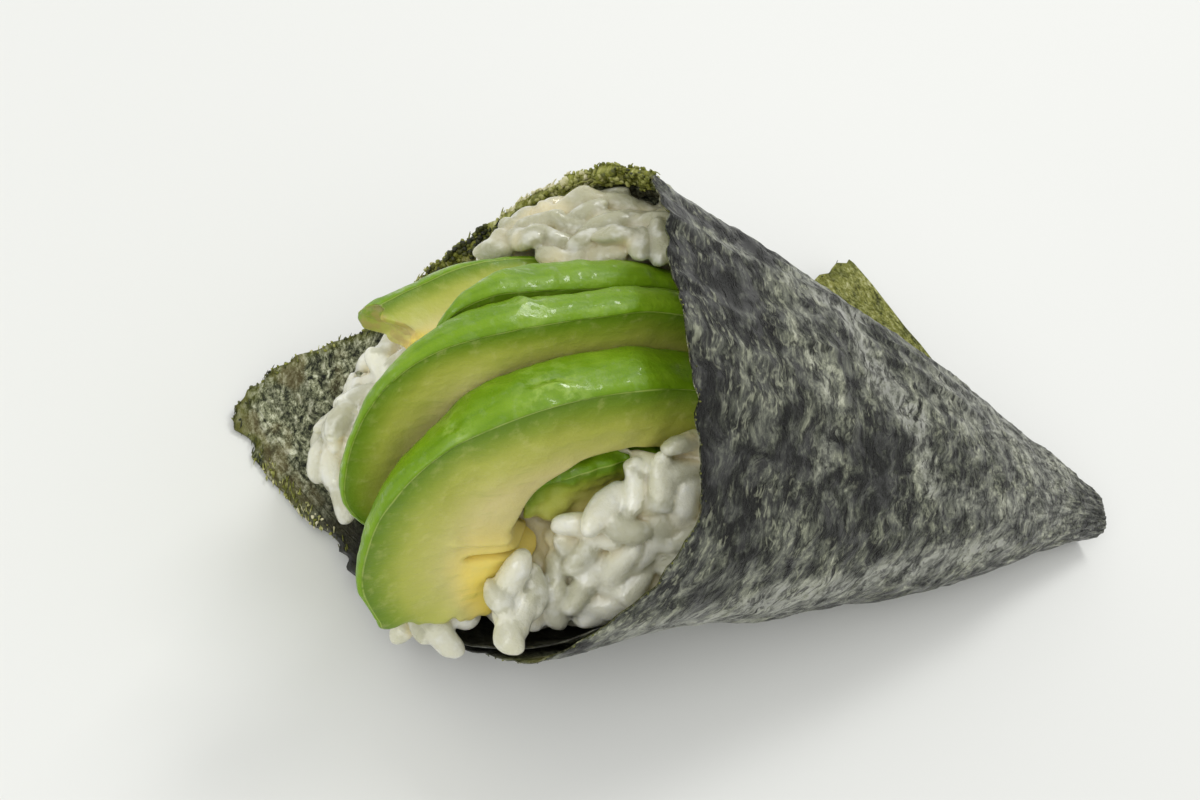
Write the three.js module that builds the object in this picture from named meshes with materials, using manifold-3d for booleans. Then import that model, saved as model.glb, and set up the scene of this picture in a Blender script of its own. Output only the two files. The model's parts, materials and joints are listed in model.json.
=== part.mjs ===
import * as THREE from 'three';
import { mergeVertices } from 'three/addons/utils/BufferGeometryUtils.js';
import Module from 'manifold-3d';

// A temaki hand roll that lies on its side: one seaweed sheet wound into a cone, packed with
// rice, with a fan of avocado slices that hangs out of the open end. Millimetres, +Z up, the
// closed tip towards +X. It is laid out with the sheet's flat corner at x = 0 and then centred.

const wasm = await Module();
wasm.setup();

// ---- Driving dimensions: the wrap ----
const SHEET_THICKNESS = 0.7;
const LAP_STEP = 1.2;
const CLEARANCE = 0.35;
const APEX = new THREE.Vector3(138.6, 2.4, SHEET_THICKNESS / 2);
const GAUGE_X = 41;
const SECTION = { centreY: -7.9, halfWidth: 27.4, halfHeight: 23.4, power: 2.3 };
const FLAT_DEPTH = 0.3;
// Wrap angles run round the cone in degrees: 270 is underneath, 360 behind, 450 on top and
// 540 in front. The sheet starts inside the front wall and leaves the cone underneath it.
const WRAP = { start: 188, corner: 288, lapFrom: 480, lapFull: 546, leaves: 642, ends: 702 };
const FLAP_REACH = 88;
const FLAP_BLUNT = 0.5;
// Distance from the apex to the sheet's open edge, at points along the wrap.
const INNER_EDGE = [[188, 107], [204, 112.5], [222, 117], [248, 124.4], [270, 130.5], [288, 138.6]];
const RIM_EDGE = [[288, 138.6], [296, 135.4], [303, 127.8], [311, 123.4], [331, 117.5], [347, 113],
  [370, 110], [386, 108], [398, 106], [425, 108.4], [458, 109.6], [475, 109.4], [505, 106.2],
  [540, 109.5], [560, 113], [584, 115.5], [622, 121]];
const FLAP_CORNER_REACH = 62;
const TIP_CUT = 14.6;
const INNER_TIP_REACH = 46;
const WAVE_HEIGHT = 0.35;
const BELLY = 1.6;
const DROOP = { from: 125, to: 137 };

// ---- Driving dimensions: the filling ----
// The avocado faces lean back on each other. Places on a face are given along the roll and up
// the face, from a point at the mouth.
const FAN = {
  origin: new THREE.Vector3(42, -17.4, 39),
  facing: new THREE.Vector3(0.3, -0.9, 0.31).normalize(),
};
const LYING = {
  origin: new THREE.Vector3(26.2, 3.4, 31),
  facing: new THREE.Vector3(0, -0.25, 0.97).normalize(),
};
const SKIN_BULGE = 0.9;
const RINGS_A_STATION = 2;
// The room for rice inside the wrap, and the heap's arches: [x, middle y at its foot, half
// width, top]. The arches lean back as the slices do.
const ROOM = { fromReach: 32, toReach: 136, rings: 7, pointsARing: 28, margin: 0.2 };
const HEAP = [[12, -8, 2, 5], [13.6, -9, 5.5, 9], [16, -10, 9.5, 14.5], [19.4, -11, 13, 20],
  [24, -12, 17, 27], [31, -12.5, 19.5, 32.5], [37, -12.5, 22.5, 36.5], [45, -12.5, 26, 40],
  [60, -12.5, 34, 48], [115, -12.5, 38, 50]];
const HEAP_LEAN = 0.31;
// Lumps that stand out of the heap: [x, y, z] of the middle, then the three half sizes.
const LUMPS = [[33.2, -27, 12.6, 3.4, 4, 7.4], [23.4, -28.2, 8.4, 5, 3, 3.4],
  [32.5, 8, 28.5, 7, 6, 4], [37, 12, 29.5, 6, 5, 4.5], [41, -23.6, 21, 7, 4.5, 8.5],
  [38, -26, 12, 6, 4, 5], [13.8, -6.5, 8, 2.6, 4.5, 4]];
const HEAP_POWER = 3;
const HEAP_ROOT = 3;
// Cooked grains. They lie from sunk to raised, in grain widths, over the heap's skin, with as
// much open space as open over them, out to reachesX along the roll.
const GRAIN = {
  length: 6.6, width: 2.8, flatness: 0.9, largest: 1.1, smallest: 0.85, shortened: [1, 0.8, 0.62],
  slices: 5, rings: 4, spacing: 3.6, sunk: 0, raised: 0.4, open: 2.2, openHalfWidth: 0.6,
  reachesX: 45, draws: 9000, seed: 21,
};

const degrees = THREE.MathUtils.degToRad;
const smooth = (value, from, to) => THREE.MathUtils.smoothstep(value, from, to);

function seededRandom(seed) {
  let state = seed;
  return () => {
    state = (state * 1664525 + 1013904223) % 4294967296;
    return state / 4294967296;
  };
}

// A curve through [position, value] pairs that never overshoots them.
function valueAlong(pairs, position) {
  const last = pairs.length - 1;
  if (position <= pairs[0][0]) return pairs[0][1];
  if (position >= pairs[last][0]) return pairs[last][1];
  const slopes = [];
  for (let i = 0; i < last; i += 1) {
    slopes.push((pairs[i + 1][1] - pairs[i][1]) / (pairs[i + 1][0] - pairs[i][0]));
  }
  const tangentAt = (i) => {
    if (i === 0) return slopes[0];
    if (i === last) return slopes[last - 1];
    if (slopes[i - 1] * slopes[i] <= 0) return 0;
    return (2 * slopes[i - 1] * slopes[i]) / (slopes[i - 1] + slopes[i]);
  };
  const i = pairs.findIndex((pair, k) => k < last && position < pairs[k + 1][0]);
  const span = pairs[i + 1][0] - pairs[i][0];
  const t = (position - pairs[i][0]) / span;
  const rise = t * t * (3 - 2 * t);
  const leaving = tangentAt(i) * span * t * (1 - t) ** 2;
  const arriving = tangentAt(i + 1) * span * t * t * (t - 1);
  return THREE.MathUtils.lerp(pairs[i][1], pairs[i + 1][1], rise) + leaving + arriving;
}

// ---- Meshes and solids ----

const MERGE_WITHIN = 1e-3;

function solidFromGeometry(geometry) {
  const bare = geometry.clone();
  bare.deleteAttribute('normal');
  bare.deleteAttribute('uv');
  const merged = mergeVertices(bare, MERGE_WITHIN);
  const mesh = new wasm.Mesh({
    numProp: 3,
    vertProperties: new Float32Array(merged.attributes.position.array),
    triVerts: new Uint32Array(merged.index.array),
  });
  return new wasm.Manifold(mesh);
}

// What is left of a solid when its loose scraps and its sealed hollows are dropped. Each pass
// merges the corners again, which can pinch off another hollow.
function largestPiece(solid) {
  let rest = solid;
  let pieces = [];
  for (let pass = 0; pass < 3 || pieces.length > 1; pass += 1) {
    pieces = solidFromGeometry(geometryFromSolid(rest)).decompose();
    rest = pieces.reduce((best, piece) => (piece.volume() > best.volume() ? piece : best));
  }
  return rest;
}

function geometryFromSolid(solid) {
  const mesh = solid.getMesh();
  const geometry = new THREE.BufferGeometry();
  geometry.setAttribute('position', new THREE.BufferAttribute(mesh.vertProperties, 3));
  geometry.setIndex(new THREE.BufferAttribute(mesh.triVerts, 1));
  geometry.computeVertexNormals();
  return geometry;
}

function indexedGeometry(points, triangles) {
  const geometry = new THREE.BufferGeometry().setFromPoints(points);
  geometry.setIndex(triangles);
  geometry.computeVertexNormals();
  return geometry;
}

// A closed body through rings of points, each ring the same number of points, with a fan over
// the first ring and over the last. Rings run clockwise seen from the far end.
function loftGeometry(rings) {
  const size = rings[0].length;
  const points = rings.flat();
  const triangles = [];
  for (let r = 0; r < rings.length - 1; r += 1) {
    for (let k = 0; k < size; k += 1) {
      const here = r * size + k;
      const beside = r * size + ((k + 1) % size);
      triangles.push(here, here + size, beside);
      triangles.push(beside, here + size, beside + size);
    }
  }
  const capWith = (ring, flipped) => {
    const middle = new THREE.Vector3();
    ring.forEach((point) => middle.addScaledVector(point, 1 / size));
    points.push(middle);
    const first = flipped ? 0 : (rings.length - 1) * size;
    for (let k = 0; k < size; k += 1) {
      const beside = (k + 1) % size;
      if (flipped) triangles.push(first + k, first + beside, points.length - 1);
      else triangles.push(first + beside, first + k, points.length - 1);
    }
  };
  capWith(rings[0], true);
  capWith(rings[rings.length - 1], false);
  return indexedGeometry(points, triangles);
}

// ---- The cone that the sheet follows ----

// The cone's section in the gauge plane, a rounded oval, then a straight flap.
function gaugePoint(angle) {
  const onOval = Math.min(angle, WRAP.leaves);
  const across = Math.cos(degrees(onOval));
  const up = Math.sin(degrees(onOval));
  const power = SECTION.power;
  const radius = (Math.abs(across) ** power + Math.abs(up) ** power) ** (-1 / power);
  const y = SECTION.centreY + SECTION.halfWidth * radius * across;
  const z = APEX.z - FLAT_DEPTH + SECTION.halfHeight * (1 + radius * up);
  const point = new THREE.Vector3(GAUGE_X, y, z);
  if (angle > WRAP.leaves) {
    const before = gaugePoint(WRAP.leaves - 1);
    const tangent = point.clone().sub(before).normalize();
    const out = (angle - WRAP.leaves) / (WRAP.ends - WRAP.leaves);
    point.addScaledVector(tangent, out * FLAP_REACH);
  }
  return point;
}

const rayDirection = (angle) => gaugePoint(angle).sub(APEX).normalize();

// How far the sheet has turned when it is rolled out flat, in radians.
const TURN_STEP = 1;
const turned = [0];
for (let angle = WRAP.start; angle < WRAP.ends; angle += TURN_STEP) {
  const step = rayDirection(angle).angleTo(rayDirection(angle + TURN_STEP));
  turned.push(turned[turned.length - 1] + step);
}
function flatTurn(angle) {
  const place = (angle - WRAP.start) / TURN_STEP;
  const below = Math.min(Math.floor(place), turned.length - 2);
  return THREE.MathUtils.lerp(turned[below], turned[below + 1], place - below);
}

// The cut edge past the tip is straight on the flat sheet and ends at the flap's corner.
const FLAP_TURN = flatTurn(WRAP.ends);
const TIP_TURN = FLAP_TURN - Math.acos(TIP_CUT / FLAP_CORNER_REACH);
function tipReach(angle) {
  const away = flatTurn(angle) - TIP_TURN;
  if (Math.cos(away) <= TIP_CUT / FLAP_CORNER_REACH / 2) return INNER_TIP_REACH;
  const straight = TIP_CUT / Math.cos(away);
  return away < 0 ? Math.min(straight, INNER_TIP_REACH) : straight;
}

// The open edge: the inner lap, the rim round the mouth, then a straight cut to the flap.
const LAST_RIM = RIM_EDGE[RIM_EDGE.length - 1];
const flatPlace = (reach, turn) => new THREE.Vector2(reach * Math.sin(turn), reach * Math.cos(turn));
function openReach(angle) {
  if (angle <= WRAP.corner) return valueAlong(INNER_EDGE, angle);
  if (angle <= LAST_RIM[0]) return valueAlong(RIM_EDGE, angle);
  const from = flatPlace(LAST_RIM[1], flatTurn(LAST_RIM[0]));
  const cut = flatPlace(FLAP_CORNER_REACH, FLAP_TURN).sub(from);
  const ray = flatPlace(1, flatTurn(angle));
  return from.cross(cut) / ray.cross(cut);
}

// Shallow dents that both turns of the wrap share, so that they keep their distance.
function dent(angle, reach) {
  const turn = degrees(angle);
  const low = smooth(-Math.sin(turn), 0.6, 0.95);
  const ripple = Math.sin(3 * turn + reach / 17) + 0.6 * Math.sin(5 * turn - reach / 11 + 1);
  const belly = BELLY * smooth(reach, 15, 50) * (1 - smooth(reach, 60, 105));
  return (WAVE_HEIGHT * ripple * smooth(reach, 20, 90) + belly) * (1 - low);
}

// A point on the middle of the sheet. inward moves it into the roll.
function sheetPoint(angle, reach, inward = 0) {
  const ray = rayDirection(angle);
  const step = 0.5;
  const along = rayDirection(angle + step).sub(rayDirection(angle - step));
  const outward = ray.clone().cross(along).normalize();
  const lap = LAP_STEP * (1 - smooth(angle, WRAP.lapFrom, WRAP.lapFull));
  const underneath = smooth(-Math.sin(degrees(angle)), 0.1, 0.9);
  const droop = angle < WRAP.lapFrom ? LAP_STEP * smooth(reach, DROOP.from, DROOP.to) * underneath : 0;
  const flapFade = 1 - smooth(angle, WRAP.leaves - 20, WRAP.leaves);
  const offset = droop - lap - inward + dent(angle, reach) * flapFade;
  const point = APEX.clone().addScaledVector(ray, reach).addScaledVector(outward, offset);
  point.z = Math.max(point.z, SHEET_THICKNESS / 2 + inward);
  return point;
}

function sheetNormal(angle, reach) {
  const turnStep = 0.5;
  const reachStep = 0.5;
  const round = sheetPoint(angle + turnStep, reach).sub(sheetPoint(angle - turnStep, reach));
  const out = sheetPoint(angle, reach + reachStep).sub(sheetPoint(angle, reach - reachStep));
  return round.cross(out).normalize();
}

// ---- The seaweed sheet ----

function noriGeometry() {
  const random = seededRandom(7);
  const rows = 12;
  const angles = [];
  const addColumns = (from, to, count) => {
    for (let k = 0; k < count; k += 1) angles.push(THREE.MathUtils.lerp(from, to, k / count));
  };
  addColumns(WRAP.start, WRAP.corner, 12);
  addColumns(WRAP.corner, WRAP.leaves, 44);
  addColumns(WRAP.leaves, WRAP.ends, 9);
  angles.push(WRAP.ends - FLAP_BLUNT);
  const faces = [[], []];
  angles.forEach((angle) => {
    const ragged = (random() - 0.5) * 0.8;
    const from = tipReach(angle);
    const to = openReach(angle) + ragged;
    for (let row = 0; row <= rows; row += 1) {
      const reach = THREE.MathUtils.lerp(from, to, row / rows);
      const point = sheetPoint(angle, reach);
      const normal = sheetNormal(angle, reach).multiplyScalar(SHEET_THICKNESS / 2);
      faces[0].push(point.clone().add(normal));
      faces[1].push(point.clone().sub(normal));
    }
  });
  const points = faces.flat();
  const back = faces[0].length;
  const place = (column, row) => column * (rows + 1) + row;
  const triangles = [];
  const wall = (a, b) => triangles.push(a, back + a, b, b, back + a, back + b);
  for (let column = 0; column < angles.length - 1; column += 1) {
    for (let row = 0; row < rows; row += 1) {
      const a = place(column, row);
      const b = place(column + 1, row);
      const c = place(column + 1, row + 1);
      const d = place(column, row + 1);
      triangles.push(a, b, c, a, c, d);
      triangles.push(back + a, back + c, back + b, back + a, back + d, back + c);
    }
    wall(place(column, 0), place(column + 1, 0));
    wall(place(column + 1, rows), place(column, rows));
  }
  for (let row = 0; row < rows; row += 1) {
    wall(place(0, row + 1), place(0, row));
    wall(place(angles.length - 1, row), place(angles.length - 1, row + 1));
  }
  return indexedGeometry(points, triangles);
}

// ---- Avocado ----

// Axes on a slice's face: along the roll, up the face, and out of it.
function faceFrame(origin, facing) {
  const along = new THREE.Vector3(0, 0, 1).cross(facing).normalize();
  const up = facing.clone().cross(along);
  return { origin, facing, along, up };
}

function facePoint(frame, along, up, back) {
  return frame.origin.clone()
    .addScaledVector(frame.along, along)
    .addScaledVector(frame.up, up)
    .addScaledVector(frame.facing, -back);
}

// A slice is a bent bar, round on its skin side and a little thinner at the stone side. Each
// station gives the skin edge and the stone edge of its face, how far the face is set back,
// the thickness there, and how far the slice has turned towards its hanging end, in degrees:
// [along, up, along, up, back, thickness, turn].
function sliceGeometry({ frame, stations }, grow = 0) {
  const corner = (k) => new THREE.CatmullRomCurve3(
    stations.map((station) => new THREE.Vector3(station[k], station[k + 1], 0)),
    false,
    'centripetal',
  );
  const skinLine = corner(0);
  const stoneLine = corner(2);
  const last = stations.length - 1;
  const value = (k, part) => valueAlong(stations.map((station, i) => [i / last, station[k]]), part);
  const outline = [[0, 0.1], [0.4, 0], [1, 0], [1, 0.25], [1, 0.5], [1, 0.75], [1, 1], [0.4, 1], [0, 0.9]];
  const rings = [];
  for (let i = 0; i <= last * RINGS_A_STATION; i += 1) {
    const part = i / (last * RINGS_A_STATION);
    const skin = skinLine.getPoint(part);
    const stone = stoneLine.getPoint(part);
    const width = skin.clone().sub(stone).normalize();
    skin.addScaledVector(width, grow);
    stone.addScaledVector(width, -grow);
    const deep = value(5, part) + 2 * grow;
    const turn = degrees(value(6, part));
    rings.push(outline.map(([across, depth]) => {
      const bulge = across === 1 ? SKIN_BULGE * (1 - (2 * depth - 1) ** 2) : 0;
      const place = stone.clone().lerp(skin, across).addScaledVector(width, bulge);
      const inside = deep * depth - grow;
      const back = value(4, part) + inside * Math.cos(turn);
      return facePoint(frame, place.x + inside * Math.sin(turn), place.y, back);
    }));
  }
  if (grow > 0) {
    const lengthen = (ring, next) => {
      const step = ring[0].clone().sub(next[0]).setLength(grow);
      return ring.map((point) => point.clone().add(step));
    };
    rings[0] = lengthen(rings[0], rings[1]);
    rings[rings.length - 1] = lengthen(rings[rings.length - 1], rings[rings.length - 2]);
  }
  return loftGeometry(rings);
}

const fan = faceFrame(FAN.origin, FAN.facing);
const flat = faceFrame(LYING.origin, LYING.facing);

// The three leaning slices, from the front one back, then the flat one behind them and the
// short one that is tucked in underneath.
const SLICES = {
  avocado_slice_1: {
    frame: fan,
    stations: [
      [-29, -26, -17, -27.5, 0, 5.4, 38], [-31.8, -20, -14.2, -21.5, 0, 5.6, 38],
      [-31.8, -14.5, -16.4, -17.5, 0, 5.8, 36], [-30.4, -9.5, -15.6, -14, 0, 6, 32],
      [-27, -5, -14.4, -11.6, 0, 6.2, 24], [-22, -1.8, -12.4, -9.8, 0, 6.5, 14],
      [-15, 0.2, -9.6, -8.2, 0, 6.9, 5], [-7, 0.9, -5.4, -7.4, 0, 7.3, 0],
      [1, 0.2, 0.5, -8.2, 0, 7.5, 0], [11, -3, 9, -11.4, 0, 7.4, 0],
      [20, -8, 17.5, -15.5, 0, 6.8, 0], [27, -12.5, 24.5, -18, 0, 6, 0],
    ],
  },
  avocado_slice_2: {
    frame: fan,
    stations: [
      [-27.4, -19.4, -15, -21.5, 6.2, 4.4, 42], [-31.8, -14.2, -15.8, -17, 6.2, 4.6, 42],
      [-32.4, -9.2, -16.4, -13, 6.3, 4.8, 42], [-31.4, -4.2, -16.4, -9.4, 6.5, 4.8, 42],
      [-29.2, -0.2, -15.6, -6.8, 6.7, 4.8, 40], [-25.8, 2.4, -13.6, -5.2, 7, 4.8, 32],
      [-21, 3.8, -11.6, -4.8, 7.3, 4.9, 20], [-14, 4.5, -8.6, -4.6, 7.6, 5, 8],
      [-6, 4.6, -4.4, -4.8, 7.9, 5, 0], [1, 4.4, 0.5, -5, 8, 5, 0], [11, 1.4, 9, -7.6, 7.9, 5, 0],
      [20, -3.4, 17.5, -12, 7.3, 5.3, 0], [28, -9, 25, -16.5, 6.5, 5.5, 0],
    ],
  },
  avocado_slice_3: {
    frame: fan,
    stations: [
      [-22.4, -2, -17.6, -7, 12.2, 2.4, 50], [-21.4, 2, -15, -6, 12.3, 3, 46],
      [-19.6, 4, -12.6, -5, 12.5, 3.8, 38], [-16.2, 5.1, -10, -4.8, 12.7, 4.5, 28],
      [-12, 5, -7, -4.8, 12.9, 5.1, 16], [-5, 4.4, -3.4, -5, 13.3, 5.3, 6],
      [4, 3.6, 3.6, -5.8, 13.5, 5.2, 0], [13, 0.6, 12, -8.6, 13.4, 5, 0],
      [21, -4, 19.4, -12.4, 13, 4.6, 0],
    ],
  },
  avocado_slice_4: {
    frame: flat,
    stations: [
      [-13.6, -8, -6.9, -11.6, 0, 4.2, -10], [-12.4, -6.9, -5, -12, 0, 4.4, -10],
      [-8.9, -4.1, -1.4, -10.6, 0, 4.6, -8], [-2.2, -0.3, 4, -7.6, 0, 4.6, -4],
      [6, 1.8, 9, -5.6, 0.6, 4.4, 0], [16, 2.4, 17, -4.6, 3.4, 4.2, 0],
      [24, 2, 24, -4, 6.6, 4, 0],
    ],
  },
  avocado_slice_5: {
    frame: fan,
    stations: [
      [-14.4, -14.6, -11.6, -17.4, 2.6, 3.4, 20], [-13, -12.6, -8.6, -17.6, 2, 4.4, 15],
      [-9.6, -10.9, -4.6, -15.6, 1.6, 5, 8], [-5, -9.6, -1.6, -14.2, 1.2, 5.2, 0],
      [1, -9.6, 3, -14, 1.2, 5.2, 0], [9, -12.6, 9.6, -17, 1.4, 4.8, 0],
      [17, -17, 16.4, -21, 1.8, 4.4, 0],
    ],
  },
};

// Each slice gives way to the ones laid before it, with a thin gap between them.
const cutSlices = [];
const grownSlices = [];
Object.entries(SLICES).forEach(([name, slice]) => {
  const whole = solidFromGeometry(sliceGeometry(slice));
  const cut = grownSlices.reduce((left, grown) => left.subtract(grown), whole);
  cutSlices.push({ name, solid: largestPiece(cut) });
  grownSlices.push(solidFromGeometry(sliceGeometry(slice, CLEARANCE)));
});

// ---- Rice ----

// The room inside the wrap and, beyond the mouth, above the sheet that lies there.
function roomInWrap() {
  const { fromReach, toReach, rings, pointsARing } = ROOM;
  const inward = SHEET_THICKNESS / 2 + CLEARANCE + ROOM.margin;
  const loops = [];
  for (let i = 0; i <= rings; i += 1) {
    const reach = THREE.MathUtils.lerp(fromReach, toReach, i / rings);
    const loop = [];
    for (let k = 0; k < pointsARing; k += 1) {
      const angle = WRAP.lapFrom - 360 + (360 * k) / pointsARing;
      loop.push(sheetPoint(angle, reach, inward));
    }
    loops.push(loop);
  }
  return solidFromGeometry(loftGeometry(loops));
}

// The heap's own outline, a row of rounded arches across the roll.
function heap() {
  const pointsARing = 14;
  const loops = HEAP.map(([x, middleY, halfWidth, top]) => {
    const loop = [];
    for (let k = 0; k < pointsARing; k += 1) {
      const turn = (-2 * Math.PI * k) / pointsARing;
      const across = Math.cos(turn);
      const up = Math.sin(turn);
      const radius = (Math.abs(across) ** HEAP_POWER + Math.abs(up) ** HEAP_POWER) ** (-1 / HEAP_POWER);
      const height = up > 0 ? top * radius * up : HEAP_ROOT * radius * up;
      const y = middleY + halfWidth * radius * across + HEAP_LEAN * height;
      loop.push(new THREE.Vector3(x, y, height));
    }
    return loop;
  });
  const lumps = LUMPS.map(([x, y, z, ...halfSizes]) => {
    const ball = new THREE.SphereGeometry(1, 7, 5).scale(...halfSizes).translate(x, y, z);
    return solidFromGeometry(ball);
  });
  return wasm.Manifold.union([solidFromGeometry(loftGeometry(loops)), ...lumps]);
}

// Grains lie along the heap's skin, the largest laid first, none nearer than a grain's width.
function grainsOn(core, obstacles) {
  const random = seededRandom(GRAIN.seed);
  const skin = geometryFromSolid(core).toNonIndexed();
  const corners = skin.attributes.position;
  const faces = [];
  let area = 0;
  for (let i = 0; i < corners.count; i += 3) {
    const triangle = new THREE.Triangle();
    triangle.setFromAttributeAndIndices(corners, i, i + 1, i + 2);
    area += triangle.getArea();
    faces.push({ triangle, area });
  }
  const laid = [];
  const grains = [];
  for (let draw = 0; draw < GRAIN.draws; draw += 1) {
    const wanted = random() * area;
    const { triangle } = faces.find((face) => face.area >= wanted);
    const u = Math.sqrt(random());
    const v = random();
    const turn = random() * Math.PI;
    const lift = random();
    const place = triangle.a.clone().multiplyScalar(1 - u)
      .addScaledVector(triangle.b, u * (1 - v))
      .addScaledVector(triangle.c, u * v);
    const crowded = laid.some((other) => other.distanceTo(place) < GRAIN.spacing);
    if (place.x > GRAIN.reachesX || crowded) continue;
    const outward = triangle.getNormal(new THREE.Vector3());
    const side = new THREE.Vector3(0, 0, 1).cross(outward);
    if (side.length() < 0.1) side.set(1, 0, 0);
    const lying = side.normalize().applyAxisAngle(outward, turn);
    const size = THREE.MathUtils.lerp(GRAIN.largest, GRAIN.smallest, draw / GRAIN.draws);
    const grain = fittedGrain(place, lying, outward, size, lift, obstacles);
    if (grain) {
      grains.push(grain);
      laid.push(place);
    }
  }
  return grains;
}

function grainSolid(middle, outward, lying, halfSizes) {
  const across = outward.clone().cross(lying);
  const shape = new THREE.Matrix4().makeBasis(
    outward.clone().multiplyScalar(halfSizes.x),
    lying.clone().multiplyScalar(halfSizes.y),
    across.multiplyScalar(halfSizes.z),
  );
  shape.setPosition(middle);
  const ball = new THREE.SphereGeometry(1, GRAIN.slices, GRAIN.rings);
  return solidFromGeometry(ball.applyMatrix4(shape));
}

// One grain, shortened where it would cross the wrap or a slice, and left out if that fails or
// if it would lie where something covers the heap.
function fittedGrain(place, lying, outward, size, lift, obstacles) {
  const over = place.clone().addScaledVector(outward, GRAIN.open);
  const space = new THREE.Vector3(GRAIN.open, GRAIN.openHalfWidth, GRAIN.openHalfWidth);
  if (!grainSolid(over, outward, lying, space).intersect(obstacles).isEmpty()) return null;
  const height = GRAIN.width * THREE.MathUtils.lerp(GRAIN.sunk, GRAIN.raised, lift);
  const middle = place.clone().addScaledVector(outward, height);
  for (const length of GRAIN.shortened) {
    const halfSizes = new THREE.Vector3(GRAIN.flatness * GRAIN.width, length * GRAIN.length, GRAIN.width);
    const solid = grainSolid(middle, outward, lying, halfSizes.multiplyScalar(size / 2));
    if (solid.intersect(obstacles).isEmpty()) return solid;
  }
  return null;
}

function riceSolid(noriSolid) {
  const core = largestPiece(grownSlices.reduce(
    (left, grown) => left.subtract(grown),
    roomInWrap().intersect(heap()),
  ));
  const obstacles = wasm.Manifold.union([noriSolid, ...grownSlices]);
  return largestPiece(wasm.Manifold.union([core, ...grainsOn(core, obstacles)]));
}

// ---- Put together ----

const roll = new THREE.Group();

function addPiece(name, geometry, color, roughness) {
  const material = new THREE.MeshStandardMaterial({ color, roughness, metalness: 0 });
  const piece = new THREE.Mesh(geometry, material);
  piece.name = name;
  roll.add(piece);
}

const nori = noriGeometry();
addPiece('nori', nori, 0x34382c, 0.55);
addPiece('rice', geometryFromSolid(riceSolid(solidFromGeometry(nori))), 0xe6e6dc, 0.4);
cutSlices.forEach(({ name, solid }) => addPiece(name, geometryFromSolid(solid), 0xb7c35a, 0.35));

// The origin is under the middle of the roll, on the surface that it lies on, to a tenth of a
// millimetre.
const extent = new THREE.Box3().setFromObject(roll);
const middle = extent.getCenter(new THREE.Vector3());
const TENTHS = 10;
roll.position.set(-middle.x, -middle.y, -extent.min.z);
roll.position.multiplyScalar(TENTHS).round().divideScalar(TENTHS);
roll.updateMatrixWorld(true);

export default roll;
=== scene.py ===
"""A temaki hand roll: a seaweed sheet wound into a cone, packed with rice and sliced avocado.

The shapes are worked out in millimetres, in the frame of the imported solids: +X from the open
mouth to the closed tip, +Z up, the origin on the table under the middle of the roll.
"""

import json
import math
from collections import namedtuple
from itertools import product

import bpy
import numpy as np
from bpy.props import FloatProperty, FloatVectorProperty, IntProperty, PointerProperty
from mathutils import Matrix, Vector
from mathutils.bvhtree import BVHTree
from mathutils.kdtree import KDTree

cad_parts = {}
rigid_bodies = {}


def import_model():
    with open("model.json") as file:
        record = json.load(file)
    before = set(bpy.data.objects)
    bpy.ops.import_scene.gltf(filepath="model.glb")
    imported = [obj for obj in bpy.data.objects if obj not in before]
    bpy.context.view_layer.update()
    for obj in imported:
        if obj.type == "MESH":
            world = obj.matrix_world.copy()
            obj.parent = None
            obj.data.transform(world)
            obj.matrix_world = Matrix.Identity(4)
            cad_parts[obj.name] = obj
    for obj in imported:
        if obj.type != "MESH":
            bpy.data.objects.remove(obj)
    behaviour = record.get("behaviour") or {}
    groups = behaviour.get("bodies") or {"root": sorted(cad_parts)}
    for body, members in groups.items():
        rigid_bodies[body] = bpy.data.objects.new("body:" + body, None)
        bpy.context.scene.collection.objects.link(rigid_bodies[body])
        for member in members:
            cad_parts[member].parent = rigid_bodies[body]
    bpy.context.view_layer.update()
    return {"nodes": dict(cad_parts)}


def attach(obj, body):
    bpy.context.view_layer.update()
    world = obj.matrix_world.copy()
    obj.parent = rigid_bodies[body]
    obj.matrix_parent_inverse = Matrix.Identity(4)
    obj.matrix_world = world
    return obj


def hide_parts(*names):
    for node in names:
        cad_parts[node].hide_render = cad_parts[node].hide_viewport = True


bl_info = {
    "name": "Hand Roll",
    "version": (1, 0, 0),
    "blender": (4, 5, 0),
    "location": "3D Viewport > Sidebar > Hand Roll",
    "description": "Dresses a temaki hand roll around its packed solids",
    "category": "Object",
}

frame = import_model()

MM = 0.001
# The camera: its frame in pixels, its lens and sensor, and its place and direction.
FRAME_WIDTH, FRAME_HEIGHT = 1200, 800
LENS = 39
SENSOR_WIDTH = 36
CAMERA_PLACE = (-67.95, -97.15, 135.4)
CAMERA_FORWARD = (0.3003, 0.5833, -0.7547)
CAMERA_UP = (-0.1453, 0.8100, 0.5682)
# The camera's focal length in the frame's pixels.
FOCUS = LENS / SENSOR_WIDTH * FRAME_WIDTH


def shade(code):
    """The scene-linear colour of a display hex code."""
    shown = [int(code[i:i + 2], 16) / 255 for i in (1, 3, 5)]
    return tuple(s / 12.92 if s <= 0.04045 else ((s + 0.055) / 1.055) ** 2.4 for s in shown)


# ---- Sizes and colours that a user may change ----


def length(name, description, default):
    """A size in millimetres."""
    return FloatProperty(name=name, description=description, default=default, min=0)


def colour(name, description, code):
    """A colour from its display hex code."""
    return FloatVectorProperty(
        name=name, description=description, default=shade(code), subtype="COLOR", min=0, max=1,
    )


def share(name, description, default):
    """A share from 0 to 1."""
    return FloatProperty(
        name=name, description=description, default=default, min=0, max=1, subtype="FACTOR",
    )


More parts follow.
